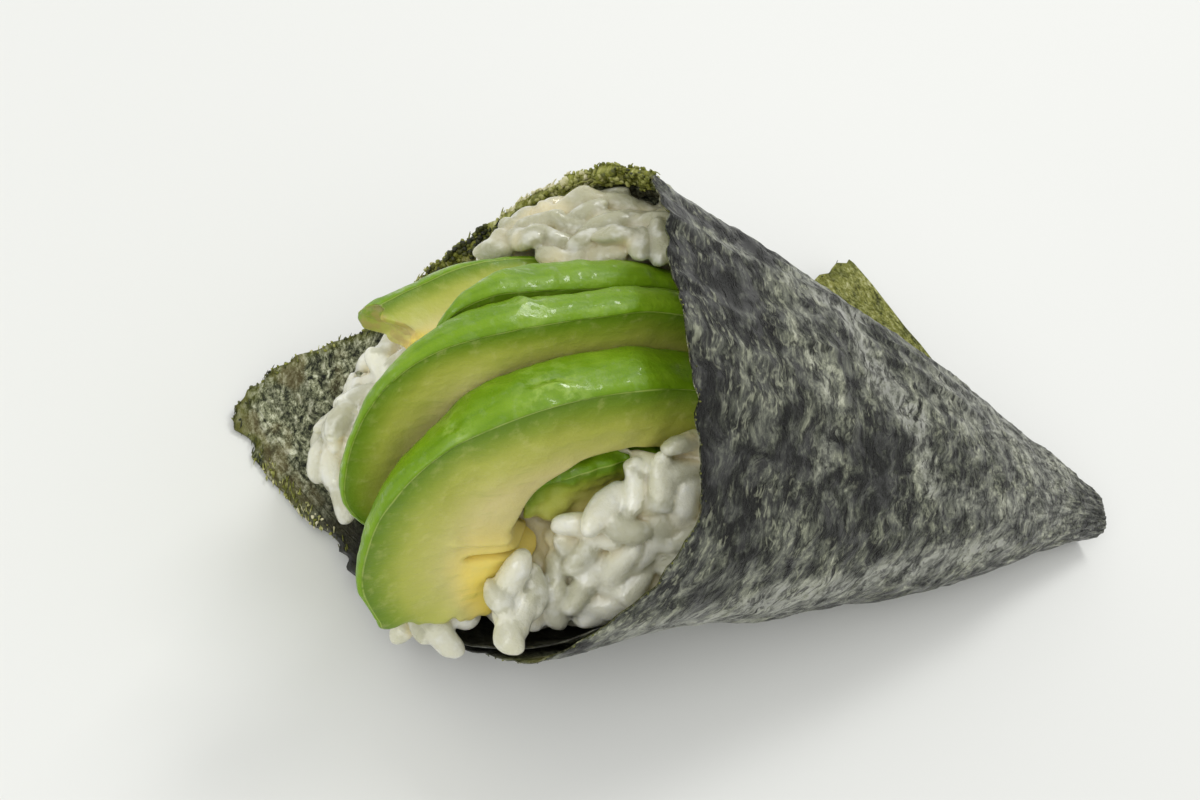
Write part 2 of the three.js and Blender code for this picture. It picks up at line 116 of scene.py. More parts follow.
class SeaweedSettings(bpy.types.PropertyGroup):
    """The sheet around the roll."""

    thickness: length("Thickness", "Thickness of the sheet, in mm", 0.42)
    crease: length("Crease height", "Height of the pinched creases, in mm", 0.5)
    relief: length("Relief", "Depth of the fibres on the outside, in mm", 0.09)
    ragged: length("Ragged edge", "How far the open edge is torn, in mm", 0.9)
    # The dark colour is partly the seaweed's own and partly painted shade down in the wrinkles.
    dark: colour("Dark", "Colour down in the wrinkles", "#0d0e0a")
    green: colour("Body", "Main colour of the outside", "#414439")
    # The pale fibres are partly the sheet's own fibres and partly painted highlight on the wrinkles.
    fibre: colour("Fibre", "Colour of the pale fibres", "#b4b79c")
    # The wide streaks are partly the sheet's own pale streaks and partly painted light.
    streak: colour("Streak", "Colour of the wide dry streaks", "#a1a29b")
    olive: colour("Thin edge", "Colour where light comes through a thin edge", "#6d7224")


class RiceSettings(bpy.types.PropertyGroup):
    """The heap of cooked grains."""

    grain_length: length("Grain length", "Length of a cooked grain, in mm", 6.4)
    grain_width: length("Grain width", "Width of a cooked grain, in mm", 2.9)
    spacing: length("Spacing", "Least distance between two grains' middles, in mm", 2.2)
    seed: IntProperty(name="Seed", description="Which way the grains fall", default=5)
    white: colour("White", "Colour of the grains", "#e6e5d5")
    # Painted shade down between the grains.
    shaded: colour("Deep", "Colour down between the grains", "#d3caa6")


class AvocadoSettings(bpy.types.PropertyGroup):
    """The slices of avocado."""

    skin: colour("Skin side", "Colour just under the peeled skin", "#729612")
    rim: colour("Rim", "Colour of the cut face next to the skin side", "#567710")
    flesh: colour("Flesh", "Colour of the middle of the face", "#adb34c")
    stone: colour("Stone side", "Colour of the face next to the stone", "#d2c786")
    roughness: share("Roughness", "Roughness of the moist flesh", 0.3)


class StageSettings(bpy.types.PropertyGroup):
    """The table, the light and the camera."""

    floor: colour("Floor", "Colour of the table", "#e4e5e1")
    lens: FloatProperty(
        name="Lens", description="Focal length", default=LENS, min=1, subtype="DISTANCE_CAMERA",
        unit="CAMERA",
    )
    daylight: FloatProperty(
        name="Daylight", description="Strength of the soft light from all round", default=0.8,
        min=0,
    )


class HandRollSettings(bpy.types.PropertyGroup):
    """Everything that a user may change."""

    seaweed: PointerProperty(type=SeaweedSettings, name="Seaweed", description="The sheet")
    rice: PointerProperty(type=RiceSettings, name="Rice", description="The heap of rice")
    avocado: PointerProperty(type=AvocadoSettings, name="Avocado", description="The slices")
    stage: PointerProperty(type=StageSettings, name="Stage", description="Table and light")


# ---- Numbers and noise ----


def eased(value, low, high):
    """0 below low, 1 above high, and a smooth rise between them."""
    part = np.clip((np.asarray(value, float) - low) / (high - low), 0, 1)
    return part * part * (3 - 2 * part)


def scattered(cells, seed):
    """A number from -1 to 1 for each row of three whole numbers."""
    mixed = (cells[:, 0] * 73856093) ^ (cells[:, 1] * 19349663) ^ (cells[:, 2] * 83492791)
    mixed = mixed ^ (seed * 40503 + 977)
    mixed = (mixed ^ (mixed >> 13)) * 1274126177
    mixed = mixed ^ (mixed >> 16)
    return (mixed & 0xFFFF) / 0x7FFF - 1


def bumps(points, size, seed=0):
    """Smooth noise from -1 to 1 at each point, with bumps about size apart."""
    cells = np.asarray(points, float) / size
    base = np.floor(cells).astype(np.int64)
    part = cells - base
    ease = part * part * (3 - 2 * part)
    total = np.zeros(len(cells))
    for corner in product((0, 1), repeat=3):
        weight = np.prod(np.where(corner, ease, 1 - ease), axis=1)
        total += weight * scattered(base + corner, seed)
    return total


def ridges(points, size, seed=0, sharpness=3.5):
    """Thin winding ridges, 1 on their crests and 0 between them."""
    return np.clip(1 - sharpness * np.abs(bumps(points, size, seed)), 0, 1)


def band(value, limits):
    """0 outside and 1 inside, for limits of (rise from, rise to, fall from, fall to)."""
    rise_from, rise_to, fall_from, fall_to = limits
    return eased(value, rise_from, rise_to) * (1 - eased(value, fall_from, fall_to))


def layered(points, layers):
    """Bumps of several sizes together, from layers of (height, size, seed)."""
    return sum(height * bumps(points, size, seed) for height, size, seed in layers)


def value_along(pairs, positions):
    """A curve through (position, value) pairs that never overshoots them."""
    at, value = np.array(pairs, float).T
    slopes = np.diff(value) / np.diff(at)
    before, after = slopes[:-1], slopes[1:]
    turning = before * after <= 0
    total = np.where(turning, 1, before + after)
    inner = np.where(turning, 0, 2 * before * after / total)
    tangents = np.concatenate([slopes[:1], inner, slopes[-1:]])
    held = np.clip(positions, at[0], at[-1])
    i = np.clip(np.searchsorted(at, held, side="right") - 1, 0, len(at) - 2)
    span = at[i + 1] - at[i]
    t = (held - at[i]) / span
    rise = t * t * (3 - 2 * t)
    leaving = tangents[i] * span * t * (1 - t) ** 2
    arriving = tangents[i + 1] * span * t * t * (t - 1)
    return value[i] + (value[i + 1] - value[i]) * rise + leaving + arriving


def unit(vectors):
    """The vectors at length 1."""
    return vectors / np.linalg.norm(vectors, axis=-1, keepdims=True)


# ---- Meshes ----


def add_piece(name, points, faces, material, replaced=()):
    """A smooth-shaded mesh object from points in millimetres, riding on the one body."""
    mesh = bpy.data.meshes.new(name)
    mesh.from_pydata((np.asarray(points) * MM).tolist(), [], [list(face) for face in faces])
    mesh.materials.append(material)
    mesh.shade_smooth()
    piece = bpy.data.objects.new(name, mesh)
    bpy.context.scene.collection.objects.link(piece)
    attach(piece, "root")
    if replaced:
        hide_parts(*replaced)
    return piece


def set_values(piece, name, values):
    """One number for each of the piece's points, for its material to read."""
    layer = piece.data.attributes.new(name, "FLOAT", "POINT")
    layer.data.foreach_set("value", np.asarray(values, np.float32))


def set_places(piece, name, places):
    """One place for each of the piece's points, for its material to read."""
    layer = piece.data.attributes.new(name, "FLOAT_VECTOR", "POINT")
    layer.data.foreach_set("vector", np.asarray(places, np.float32).ravel())


def grid_faces(columns, rows):
    """The quads of a grid of points that is laid column by column."""
    index = np.arange(columns * rows).reshape(columns, rows)
    quads = np.stack([index[:-1, :-1], index[1:, :-1], index[1:, 1:], index[:-1, 1:]], axis=-1)
    return quads.reshape(-1, 4)


def grid_normals(grid):
    """Unit normals of a columns x rows grid of points."""
    along = np.gradient(grid, axis=0)
    up = np.gradient(grid, axis=1)
    return unit(np.cross(up, along))


def tube_faces(rings, size):
    """The faces of closed rings of points, ring after ring, with both ends shut. They face out
    where the rings run anticlockwise as seen from in front of the first ring."""
    index = np.arange(rings * size).reshape(rings, size)
    beside = np.roll(index, -1, axis=1)
    quads = np.stack([index[:-1], index[1:], beside[1:], beside[:-1]], axis=-1)
    sides = [tuple(quad) for quad in quads.reshape(-1, 4).tolist()]
    return sides + [tuple(index[0].tolist()), tuple(index[-1, ::-1].tolist())]


def flipped(faces):
    """The same faces, facing the other way."""
    return [face[::-1] for face in faces]


def with_modifier(points, faces, kind, **settings):
    """The points and faces of a mesh after one modifier."""
    mesh = bpy.data.meshes.new("worked")
    mesh.from_pydata(np.asarray(points).tolist(), [], [list(face) for face in faces])
    worked = bpy.data.objects.new("worked", mesh)
    bpy.context.scene.collection.objects.link(worked)
    modifier = worked.modifiers.new(kind.title(), kind)
    for name, value in settings.items():
        setattr(modifier, name, value)
    shaped = worked.evaluated_get(bpy.context.evaluated_depsgraph_get()).to_mesh()
    result = mesh_arrays(shaped)
    worked.evaluated_get(bpy.context.evaluated_depsgraph_get()).to_mesh_clear()
    bpy.data.objects.remove(worked)
    bpy.data.meshes.remove(mesh)
    return result


def mesh_arrays(mesh):
    """A mesh's points as an array and its faces as a list."""
    points = np.zeros(len(mesh.vertices) * 3)
    mesh.vertices.foreach_get("co", points)
    return points.reshape(-1, 3), [tuple(face.vertices) for face in mesh.polygons]


def without_scraps(points, faces):
    """The largest joined-up part of a mesh of triangles, without its loose scraps."""
    corners = np.array(faces)
    label = np.arange(len(points))
    settled = False
    while not settled:
        spread = label.copy()
        np.minimum.at(spread, corners.ravel(), np.repeat(label[corners].min(axis=1), 3))
        spread = spread[spread]
        settled = np.array_equal(spread, label)
        label = spread
    part = label[corners[:, 0]]
    corners = corners[part == np.bincount(part).argmax()]
    kept, renumbered = np.unique(corners, return_inverse=True)
    return points[kept], [tuple(face) for face in renumbered.reshape(-1, 3).tolist()]


def point_normals(points, faces):
    """A unit normal at each point, from the quads and triangles around it."""
    normals = np.zeros_like(points)
    for size in (3, 4):
        corners = np.array([face for face in faces if len(face) == size], int)
        if not len(corners):
            continue
        a, b, c, d = (points[corners[:, k]] for k in (0, 1, 2, size - 1))
        across = np.cross(c - a, d - b) if size == 4 else np.cross(b - a, c - a)
        for k in range(size):
            np.add.at(normals, corners[:, k], across)
    return normals / np.maximum(np.linalg.norm(normals, axis=1, keepdims=True), 1e-12)


def solid_arrays(node):
    """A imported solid's points, in millimetres, and its faces."""
    points, faces = mesh_arrays(frame["nodes"][node].data)
    return points / MM, faces


def merged(parts):
    """One list of points and faces from several."""
    points = np.concatenate([part[0] for part in parts])
    faces = []
    first = 0
    for part_points, part_faces in parts:
        faces.extend(tuple(first + k for k in face) for face in part_faces)
        first += len(part_points)
    return points, faces


# ---- Materials ----

# How the fibres of the inner side slant, in radians.
FIBRE_SLANT = -0.785
# How far under the skin the flesh has the stone side's colour, in millimetres.
STONE_DEPTH = 18


class Value:
    """A shader socket that holds a number. Arithmetic on it adds Math nodes."""

    def __init__(self, finish, socket):
        self.finish = finish
        self.socket = socket

    def __add__(self, other):
        return self.finish.math("ADD", self, other)

    def __radd__(self, other):
        return self.finish.math("ADD", other, self)

    def __sub__(self, other):
        return self.finish.math("SUBTRACT", self, other)

    def __rsub__(self, other):
        return self.finish.math("SUBTRACT", other, self)

    def __mul__(self, other):
        return self.finish.math("MULTIPLY", self, other)

    def __rmul__(self, other):
        return self.finish.math("MULTIPLY", other, self)

    def __truediv__(self, other):
        return self.finish.math("DIVIDE", self, other)

    def __abs__(self):
        return self.finish.math("ABSOLUTE", self)

    def rise(self, low, high):
        """0 below low, 1 above high, smooth between them."""
        return self.finish.value(
            "ShaderNodeMapRange", {"interpolation_type": "SMOOTHSTEP"},
            {"Value": self, "From Min": low, "From Max": high},
        )


class Finish:
    """A material with one Principled shader, and the nodes that feed it. A colour may be given
    as a display hex code."""

    # A Mix node's sockets for colours: the factor, the two colours and the result.
    MIX_COLOURS = (0, 6, 7, 2)

    def __init__(self, name, **constants):
        self.material = bpy.data.materials.new(name)
        self.material.use_nodes = True
        self.tree = self.material.node_tree
        self.tree.nodes.clear()
        sockets = {key.replace("_", " ").title().replace("Ior", "IOR"): value
                   for key, value in constants.items()}
        self.shader = self.node("ShaderNodeBsdfPrincipled", {}, sockets)
        self.node("ShaderNodeOutputMaterial", {}, {"Surface": self.shader.outputs["BSDF"]})

    def node(self, kind, settings=None, sockets=None):
        """Any node: its settings first, then the values or links of its sockets."""
        made = self.tree.nodes.new(kind)
        for name, value in (settings or {}).items():
            if name == "stops":
                self.set_stops(made.color_ramp, value)
            else:
                setattr(made, name, value)
        for name, value in (sockets or {}).items():
            self.feed(made.inputs[name], value)
        return made

    def feed(self, socket, value):
        """Links a socket to a value or another socket, or sets it to a constant."""
        if isinstance(value, Value):
            value = value.socket
        if isinstance(value, bpy.types.NodeSocket):
            self.tree.links.new(value, socket)
        else:
            socket.default_value = self.opaque(value) if socket.type == "RGBA" else value

    @staticmethod
    def opaque(tint):
        """A colour with its alpha, from a hex code or three numbers."""
        return (*(shade(tint) if isinstance(tint, str) else tint), 1)

    def set_stops(self, ramp, stops):
        """The places and colours of a colour ramp."""
        while len(ramp.elements) < len(stops):
            ramp.elements.new(1)
        for element, (place, tint) in zip(ramp.elements, stops):
            element.position = place
            element.color = self.opaque(tint)

    def value(self, kind, settings=None, sockets=None, output=0):
        """Any node's output, as a number that arithmetic works on."""
        return Value(self, self.node(kind, settings, sockets).outputs[output])

    def math(self, operation, *numbers):
        """A Math node's output, as a number."""
        return self.value("ShaderNodeMath", {"operation": operation}, dict(enumerate(numbers)))

    def vector(self, operation, *vectors):
        """A Vector Math node's output socket."""
        made = self.node("ShaderNodeVectorMath", {"operation": operation}, dict(enumerate(vectors)))
        return made.outputs[0]

    def mix(self, amount, first, second):
        """A colour between two, by amount."""
        factor, a, b, result = self.MIX_COLOURS
        sockets = {factor: amount, a: first, b: second}
        return self.node("ShaderNodeMix", {"data_type": "RGBA"}, sockets).outputs[result]

    def ramp(self, amount, stops):
        """A colour along a row of (place, colour) stops."""
        return self.node("ShaderNodeValToRGB", {"stops": stops}, {0: amount}).outputs[0]

    def number(self, name):
        """A number stored on the mesh."""
        return self.value("ShaderNodeAttribute", {"attribute_name": name}, output="Fac")

    def place(self, name):
        """A place stored on the mesh."""
        return self.node("ShaderNodeAttribute", {"attribute_name": name}).outputs["Vector"]

    def stretched(self, place, scale):
        """A place multiplied by a scale for each axis."""
        return self.vector("MULTIPLY", place, scale)

    def bent(self, place, size, amount):
        """A place pushed about by broad noise, so that patterns on it wind."""
        push = self.node(
            "ShaderNodeTexNoise", {}, {"Vector": place, "Scale": 1 / size, "Detail": 1.5},
        ).outputs["Color"]
        centred = self.vector("SUBTRACT", push, (0.5, 0.5, 0.5))
        return self.vector("ADD", place, self.vector("MULTIPLY", centred, (amount,) * 3))

    def noise(self, place, size=1.0, detail=3.0, roughness=0.55):
        """Noise from 0 to 1 with bumps about size apart."""
        return self.value(
            "ShaderNodeTexNoise", {},
            {"Vector": place, "Scale": 1 / size, "Detail": detail, "Roughness": roughness},
        )

    def fibres(self, place, size=1.0, sharpness=9.0, detail=1.0):
        """Thin winding lines, 1 on a line and 0 between them."""
        wave = self.noise(place, size, detail)
        return (1 - sharpness * abs(wave - 0.5)).rise(0, 1)

    def bump(self, height, depth, strength):
        """Relief of a depth in millimetres."""
        made = self.node(
            "ShaderNodeBump", {}, {"Strength": strength, "Distance": depth * MM, "Height": height},
        )
        self.feed(self.shader.inputs["Normal"], made.outputs["Normal"])

    def paint(self, **sockets):
        """Feeds the shader's own sockets."""
        for name, value in sockets.items():
            self.feed(self.shader.inputs[name.replace("_", " ").title()], value)


def seaweed_finish(settings):
    """Toasted seaweed: a dark crumpled outside, a rough olive inner side, and wet black parts next to
    the rice, whose black is partly painted shade in the gap between the layers."""
    finish = Finish("seaweed", specular_ior_level=0.22, coat_roughness=0.3)
    wrap = finish.place("wrap_place")
    inner, edge, wet, rim = (finish.number(name) for name in ("inner", "edge", "wet", "rim"))
    winding = finish.bent(wrap, size=6.0, amount=5.0)
    patchy = finish.noise(finish.stretched(winding, (0.7, 1, 1)), 8.0, 3.0, 0.6)
    cloud = finish.noise(winding, 3.2, 3.0, 0.6)
    outside, folds = seaweed_outside(finish, settings, wrap, winding, patchy, cloud, edge)
    rough, green, fuzz = seaweed_inside(finish, wrap, patchy, cloud, edge)

    # The wet parts are near black: partly wet seaweed, partly painted shade in the deep gap between
    # the layers.
    rough = finish.mix(wet, rough, "#070805")
    thin = (1 - edge.rise(0.2, 2.6)) * patchy.rise(0.42, 0.58) * (1 - wet)
    surface = finish.mix(inner, outside, rough)
    surface = finish.mix(thin * 0.6 * inner, surface, settings.olive)
    # Painted light: the back rim takes the green of light shining through the thin sheet.
    surface = finish.mix(rim * 0.9, surface, green)
    finish.paint(
        base_color=surface,
        roughness=0.4 - 0.16 * wet + 0.24 * inner * (1 - wet),
        coat_weight=cloud.rise(0.45, 0.6) * (1 - inner) * 0.5 + wet * 0.8,
    )
    finish.bump(folds * (1 - inner) + fuzz * inner, depth=0.34, strength=1.0)
    return finish.material


def seaweed_outside(finish, settings, wrap, winding, patchy, cloud, edge):
    """The outside's colour and relief: dark, with pale wrinkles and fibres partly of painted
    highlight, creases of painted shade, and wide streaks of painted light and shade.
    """
    under, pale = finish.number("under"), finish.number("pale")

    def turned(around, along):
        """A pattern that runs round the cone, and along it low on the front."""
        return around * (1 - under) + along * under

    lively = (patchy + 0.08 * (1 - edge.rise(3, 24))).rise(0.48, 0.6)
    fine = finish.noise(finish.stretched(winding, (0.55, 1, 1)), 1.5, 7.0, 0.76)
    folded = finish.noise(finish.stretched(winding, (1, 0.4, 1)), 1.6, 5.0, 0.7)
    wrinkle = turned(fine, folded)
    crumpled = finish.stretched(finish.bent(wrap, 3.0, 2.6), (0.5, 1, 1))
    crumple = finish.fibres(crumpled, 2.6, 8.0, 4.0)
    threaded = finish.stretched(finish.bent(wrap, 2.4, 1.8), (0.5, 1.2, 1))
    threads = finish.fibres(threaded, 1.1, 10.0)
    fibres_and_glints = threads * finish.noise(wrap, 1.3, 2.0).rise(0.48, 0.56) * lively
    slit = turned(
        finish.noise(finish.stretched(winding, (0.35, 1.1, 1)), 1.6, 3.0).rise(0.38, 0.32),
        finish.noise(finish.stretched(winding, (1.2, 0.3, 1)), 1.5, 2.0).rise(0.39, 0.34),
    )
    crease = turned(
        finish.fibres(finish.stretched(finish.bent(wrap, 2.6, 2.2), (0.45, 1.2, 1)), 1.9, 15.0, 3.0),
        finish.fibres(finish.stretched(finish.bent(wrap, 2.6, 1.6), (1.1, 0.35, 1)), 1.7, 15.0, 3.0),
    ) * finish.noise(wrap, 2.2, 2.0).rise(0.46, 0.56)
    # Partly the sheet's own tone, partly painted light and shade: the crests are lightened as painted
    # highlight, the low front as painted light bounced up from the table, and the outside near the
    # open edge is darkened as painted shade.
    tone_light_and_shade = 0.7 * wrinkle + 0.3 * cloud + 0.09 * pale + 0.025 * under
    tone_light_and_shade = tone_light_and_shade + 0.15 * (patchy - 0.53) + 0.04 * crumple * lively - 0.03 * (1 - edge.rise(3, 20))

    # The ramp runs from painted shade down in the wrinkles to painted highlight on the crests.
    outside = finish.ramp(tone_light_and_shade, [
        (0.42, settings.dark), (0.46, "#24261f"), (0.5, settings.green), (0.545, "#5e6153"),
        (0.6, "#80836e"), (0.67, "#bfc1a9"),
    ])
    # Pale strokes: partly the sheet's own fibres, partly painted highlight.
    outside = finish.mix(fibres_and_glints * 0.5, outside, settings.fibre)
    # Painted light: the pale streaks lighten the outside where it catches the light.
    lit = pale.rise(0.1, 1.1) * (0.1 + wrinkle.rise(0.42, 0.6))
    outside = finish.mix(lit * 0.85, outside, settings.streak)
    # Painted shade: the dark streaks darken the outside where it lies in shade.
    streak_shade = (0 - pale).rise(0.1, 0.9) * (1 - fine.rise(0.52, 0.6))
    outside = finish.mix(streak_shade * 0.7, outside, "#171914")
    # Painted shade: the slits and creases are darkened where shade falls down in them.
    outside = finish.mix(slit * 0.9, outside, "#080906")
    outside = finish.mix(crease * 0.75, outside, "#0d0e0b")
    folds = 1.2 * wrinkle + 0.8 * cloud + 0.3 * fibres_and_glints - 0.7 * slit + 0.6 * crumple - 0.7 * crease
    return outside, folds


def seaweed_inside(finish, wrap, patchy, cloud, edge):
    """The inner side's colour, the green of its flap and back rim, partly their own olive colour and
    partly painted light shining through the thin sheet, and its relief.
    """
    flap = finish.number("flap")
    diagonal = finish.node(
        "ShaderNodeMapping", {},
        {"Vector": finish.bent(wrap, 9.0, 1.0), "Rotation": (0, 0, FIBRE_SLANT)},
    ).outputs[0]
    scratch = finish.fibres(finish.stretched(diagonal, (0.08, 1, 1)), 1.0, 12.0)
    mottle = finish.noise(finish.bent(wrap, 2.0, 1.2), 0.9, 6.0, 0.78)
    rough = finish.ramp(mottle + 0.12 * (patchy - 0.5), [
        (0.37, "#0b0d08"), (0.43, "#35382a"), (0.48, "#6b6f52"), (0.54, "#a2a584"),
        (0.63, "#e6e7cc"),
    ])
    rough = finish.mix(scratch * 0.4, rough, "#20221a")
    brown = finish.noise(wrap, 5.0, 2.0).rise(0.52, 0.62) * (1 - edge.rise(2, 14))
    rough = finish.mix(brown * 0.4, rough, "#84764a")
    coarse = finish.noise(finish.stretched(diagonal, (0.45, 1, 1)), 1.7, 6.0, 0.74)
    # The green is partly the inner side's own olive colour and partly painted light shining through
    # the thin sheet.
    green = finish.ramp(0.4 * mottle + 0.6 * coarse + 0.2 * (cloud - 0.5), [
        (0.38, "#2a2d0e"), (0.46, "#6b6f22"), (0.54, "#a0a24a"), (0.64, "#dcdba4"),
    ])
    rough = finish.mix(flap * 0.8, rough, green)
    shadowed = edge.rise(8, 17) * (1 - flap) * 0.75
    rough = finish.mix(shadowed, rough, "#0d0e09")
    return rough, green, mottle * 1.6 - 0.4 * scratch


def torn_finish():
    """Torn bits of seaweed: olive, and straw-coloured where they are thinnest."""
    finish = Finish("torn_seaweed", specular_ior_level=0.45)
    place = finish.place("place")
    fine = finish.noise(place, 0.7, 3.0)
    amount = finish.number("pale") + 0.8 * (fine - 0.5)
    colours = finish.ramp(amount, [
        (0.05, "#1e210b"), (0.28, "#4c501a"), (0.5, "#7c802a"), (0.75, "#a9a968"), (1, "#ddd8b4"),
    ])
    finish.paint(base_color=colours, roughness=0.4 + 0.3 * fine)
    finish.bump(fine, depth=0.1, strength=0.8)
    return finish.material


def rice_finish(settings):
    """Moist cooked rice: translucent white, with painted shade, darker and more yellow, down between
    the grains.
    """
    finish = Finish(
        "rice", subsurface_weight=1.0, subsurface_radius=(1.0, 0.98, 0.88),
        subsurface_scale=2.2 * MM, specular_ior_level=0.5, coat_roughness=0.06,
    )
    place = finish.place("place")
    cloud = finish.noise(place, 2.0, 2.0)
    # Each grain's own tone, and painted shade behind and high up on the heap.
    body = finish.mix(finish.number("tone"), settings.white, "#aaa98e")
    body = finish.mix(cloud.rise(0.5, 0.7) * 0.5, body, "#e0e1da")
    # Painted shade: darker and more yellow down between the grains.
    body = finish.mix(finish.number("deep"), body, settings.shaded)
    finish.paint(
        base_color=body,
        roughness=0.2 + 0.22 * cloud,
        coat_weight=0.9 * cloud.rise(0.4, 0.55),
    )
    grit = finish.noise(place, 0.8, 4.0, 0.65)
    finish.bump(grit + cloud, depth=0.22, strength=0.8)
    return finish.material


def avocado_finish(settings):
    """Ripe moist flesh: green next to the skin, pale in the middle, yellow at the stone."""
    finish = Finish(
        "avocado", subsurface_weight=0.25, subsurface_radius=(0.9, 1.0, 0.3),
        subsurface_scale=0.9 * MM, specular_ior_level=0.28, coat_roughness=0.08,
    )
    place = finish.place("place")
    depth, skin, crinkled = (finish.number(name) for name in ("depth", "skin", "crinkled"))
    mottle = finish.noise(place, 1.3, 4.0, 0.6)
    smear = finish.noise(finish.stretched(place, (0.35, 0.35, 1.2)), 1.5, 3.0)

    wander = finish.noise(place, 5.0, 3.0) - 0.5
    below = depth + 2.2 * wander * depth.rise(0.3, 3.0)
    face = finish.ramp(below / STONE_DEPTH, [
        (0, settings.rim), (0.06, "#6c891c"), (0.14, "#8a9c30"), (0.25, settings.flesh),
        (0.4, "#bcbc60"), (0.62, settings.stone),
    ])
    face = finish.mix(finish.number("hang") * below.rise(8.5, 12.5), face, "#f0d968")
    face = finish.mix(mottle.rise(0.5, 0.75) * 0.2, face, "#d8d48c")
    face = finish.mix(smear.rise(0.55, 0.75) * 0.22, face, "#8b9c33")

    grain = finish.noise(finish.stretched(finish.place("run"), (0.12, 1, 1)), 1.4, 3.0)
    peel = finish.mix(grain.rise(0.3, 0.65), "#658a0c", settings.skin)
    peel = finish.mix(finish.noise(place, 4.0, 2.0).rise(0.5, 0.75) * 0.45, peel, "#88a82a")
    surface = finish.mix(skin, face, peel)
    # Painted highlight: a thin pale line along the corner between the skin side and the face.
    corner = skin.rise(0.05, 0.4) * (1 - skin.rise(0.5, 0.85)) * smear.rise(0.3, 0.5)
    surface = finish.mix(corner * 0.5, surface, "#b8c86a")
    # Painted highlight: a paler green on the wet crinkles.
    surface = finish.mix(crinkled * mottle.rise(0.45, 0.62) * 0.4, surface, "#a9c45c")
    brown = finish.number("browned") * finish.noise(place, 1.2, 3.0).rise(0.4, 0.6)
    surface = finish.mix(brown * 0.45, surface, "#b0925a")
    gloss = (0.12 + 0.5 * skin) * finish.noise(place, 1.2, 3.0).rise(0.54, 0.62) + 0.4 * crinkled
    finish.paint(
        base_color=surface, roughness=settings.roughness + 0.2 * mottle, coat_weight=gloss,
    )
    torn = finish.noise(place, 2.0, 4.0, 0.6)
    finish.bump(0.7 * mottle + smear + (torn + 0.4 * grain) * skin, depth=0.22, strength=0.7)
    return finish.material


def table_finish(settings):
    """A plain pale glazed table top."""
    finish = Finish("table", specular_ior_level=0.3)
    place = finish.node("ShaderNodeTexCoord").outputs["Object"]
    cloud = finish.noise(place, 0.2, 2.0)
    tone = finish.mix(cloud, settings.floor, [0.97 * part for part in settings.floor])
    finish.paint(base_color=tone, roughness=0.45 + 0.1 * cloud)
    return finish.material


# ---- The seaweed sheet ----

# The solid sheet's thickness, and how far it steps in where it laps under itself.
SOLID_THICKNESS = 0.7
LAP_STEP = 1.2
# The cone's apex, and its section in the plane at GAUGE_X: a rounded oval, pressed into the
# table by FLAT_DEPTH.
APEX = np.array([75.8, -0.3, SOLID_THICKNESS / 2])
GAUGE_X = -21.8
SECTION = {"centre_y": -10.6, "half_width": 27.4, "half_height": 23.4, "power": 2.3}
FLAT_DEPTH = 0.3
# Wrap angles run round the cone in degrees: 270 is underneath, 360 behind, 450 on top and
# 540 in front. The sheet starts inside at START, one corner lies out at CORNER, it steps out
# over its own start from LAP_FROM to LAP_FULL, and it leaves the cone at LEAVES, as a straight
# flap.
START, CORNER, LAP_FROM, LAP_FULL, LEAVES, ENDS = 188, 288, 480, 546, 642, 702
# How long the flap is in the gauge plane, and how many degrees short of ENDS it is cut.
FLAP_REACH = 88
FLAP_BLUNT = 0.5
# Distance from the apex to the sheet's open edge, at points along the wrap.
INNER_EDGE = [(188, 107), (204, 112.5), (222, 117), (248, 124.4), (270, 130.5), (288, 138.6)]
RIM_EDGE = [
    (288, 138.6), (296, 135.4), (303, 127.8), (311, 123.4), (331, 117.5), (347, 113), (370, 110),
    (386, 108), (398, 106), (425, 108.4), (458, 109.6), (475, 109.4), (505, 106.2), (540, 109.5),
    (560, 113), (584, 115.5), (622, 121),
]
# Reaches, all from the apex: the flap's far corner, the straight cut at the tip, the hidden
# inner lap, where the corner droops to the table, and the mean that turns angles into lengths.
FLAP_CORNER_REACH = 62
TIP_CUT = 14.6
INNER_TIP_REACH = 46
DROOP_REACH = (125, 137)
MEAN_REACH = 90
# How the wall waves and bellies, and the band of reaches that it bellies in.
WAVE_HEIGHT = 0.35
BELLY = 1.6
BELLY_BAND = (15, 50, 60, 105)
# Bands of wrap angles: the creases on top and low in front, the smooth front edge, the torn
# corner, and the thick crumbly rim behind the rice.
TOP_CREASES = (395, 420, 470, 500)
LOW_CREASES = (575, 600, 636, 650)
FRONT_EDGE = (455, 475, 600, 622)
TORN_CORNER = (250, 262, 300, 325)
BACK_RIM = (316, 328, 402, 414)
# Wrap angles that the material's parts fade in or out over: the wet start, the wet lap under the
# front, whose black is partly painted shade, and where it ends, the low front where the fibres run
# along the roll and a little painted light brightens it, and the flap.
WET_START = (258, 276)
WET_LAP, WET_LAP_ENDS = (560, 580), 600
LOW_FRONT = (560, 610)
FLAP_FROM = (636, 648)
WETTEST = 0.95
# Layers of bumps: the height, size and seed of each.
WALL_BUMPS = [(0.5, 13, 5), (0.22, 3.6, 6)]
EDGE_NICKS = [(0.35, 1.3, 12), (0.28, 0.8, 13)]
CORNER_TEARS = [(1.5, 6.5, 14), (0.6, 1.7, 16), (0.5, 0.7, 17)]
RIM_LUMPS = [(1, 1.5, 22), (0.5, 0.8, 23)]
# Columns between pairs of wrap angles, and rows from the tip to the open edge, closer together
# towards the edge.
SHEET_COLUMNS = {(START, 246): 16, (246, 326): 120, (326, LEAVES): 250, (LEAVES, ENDS): 24}
SHEET_ROWS = 120
ROW_CROWDING = 0.92
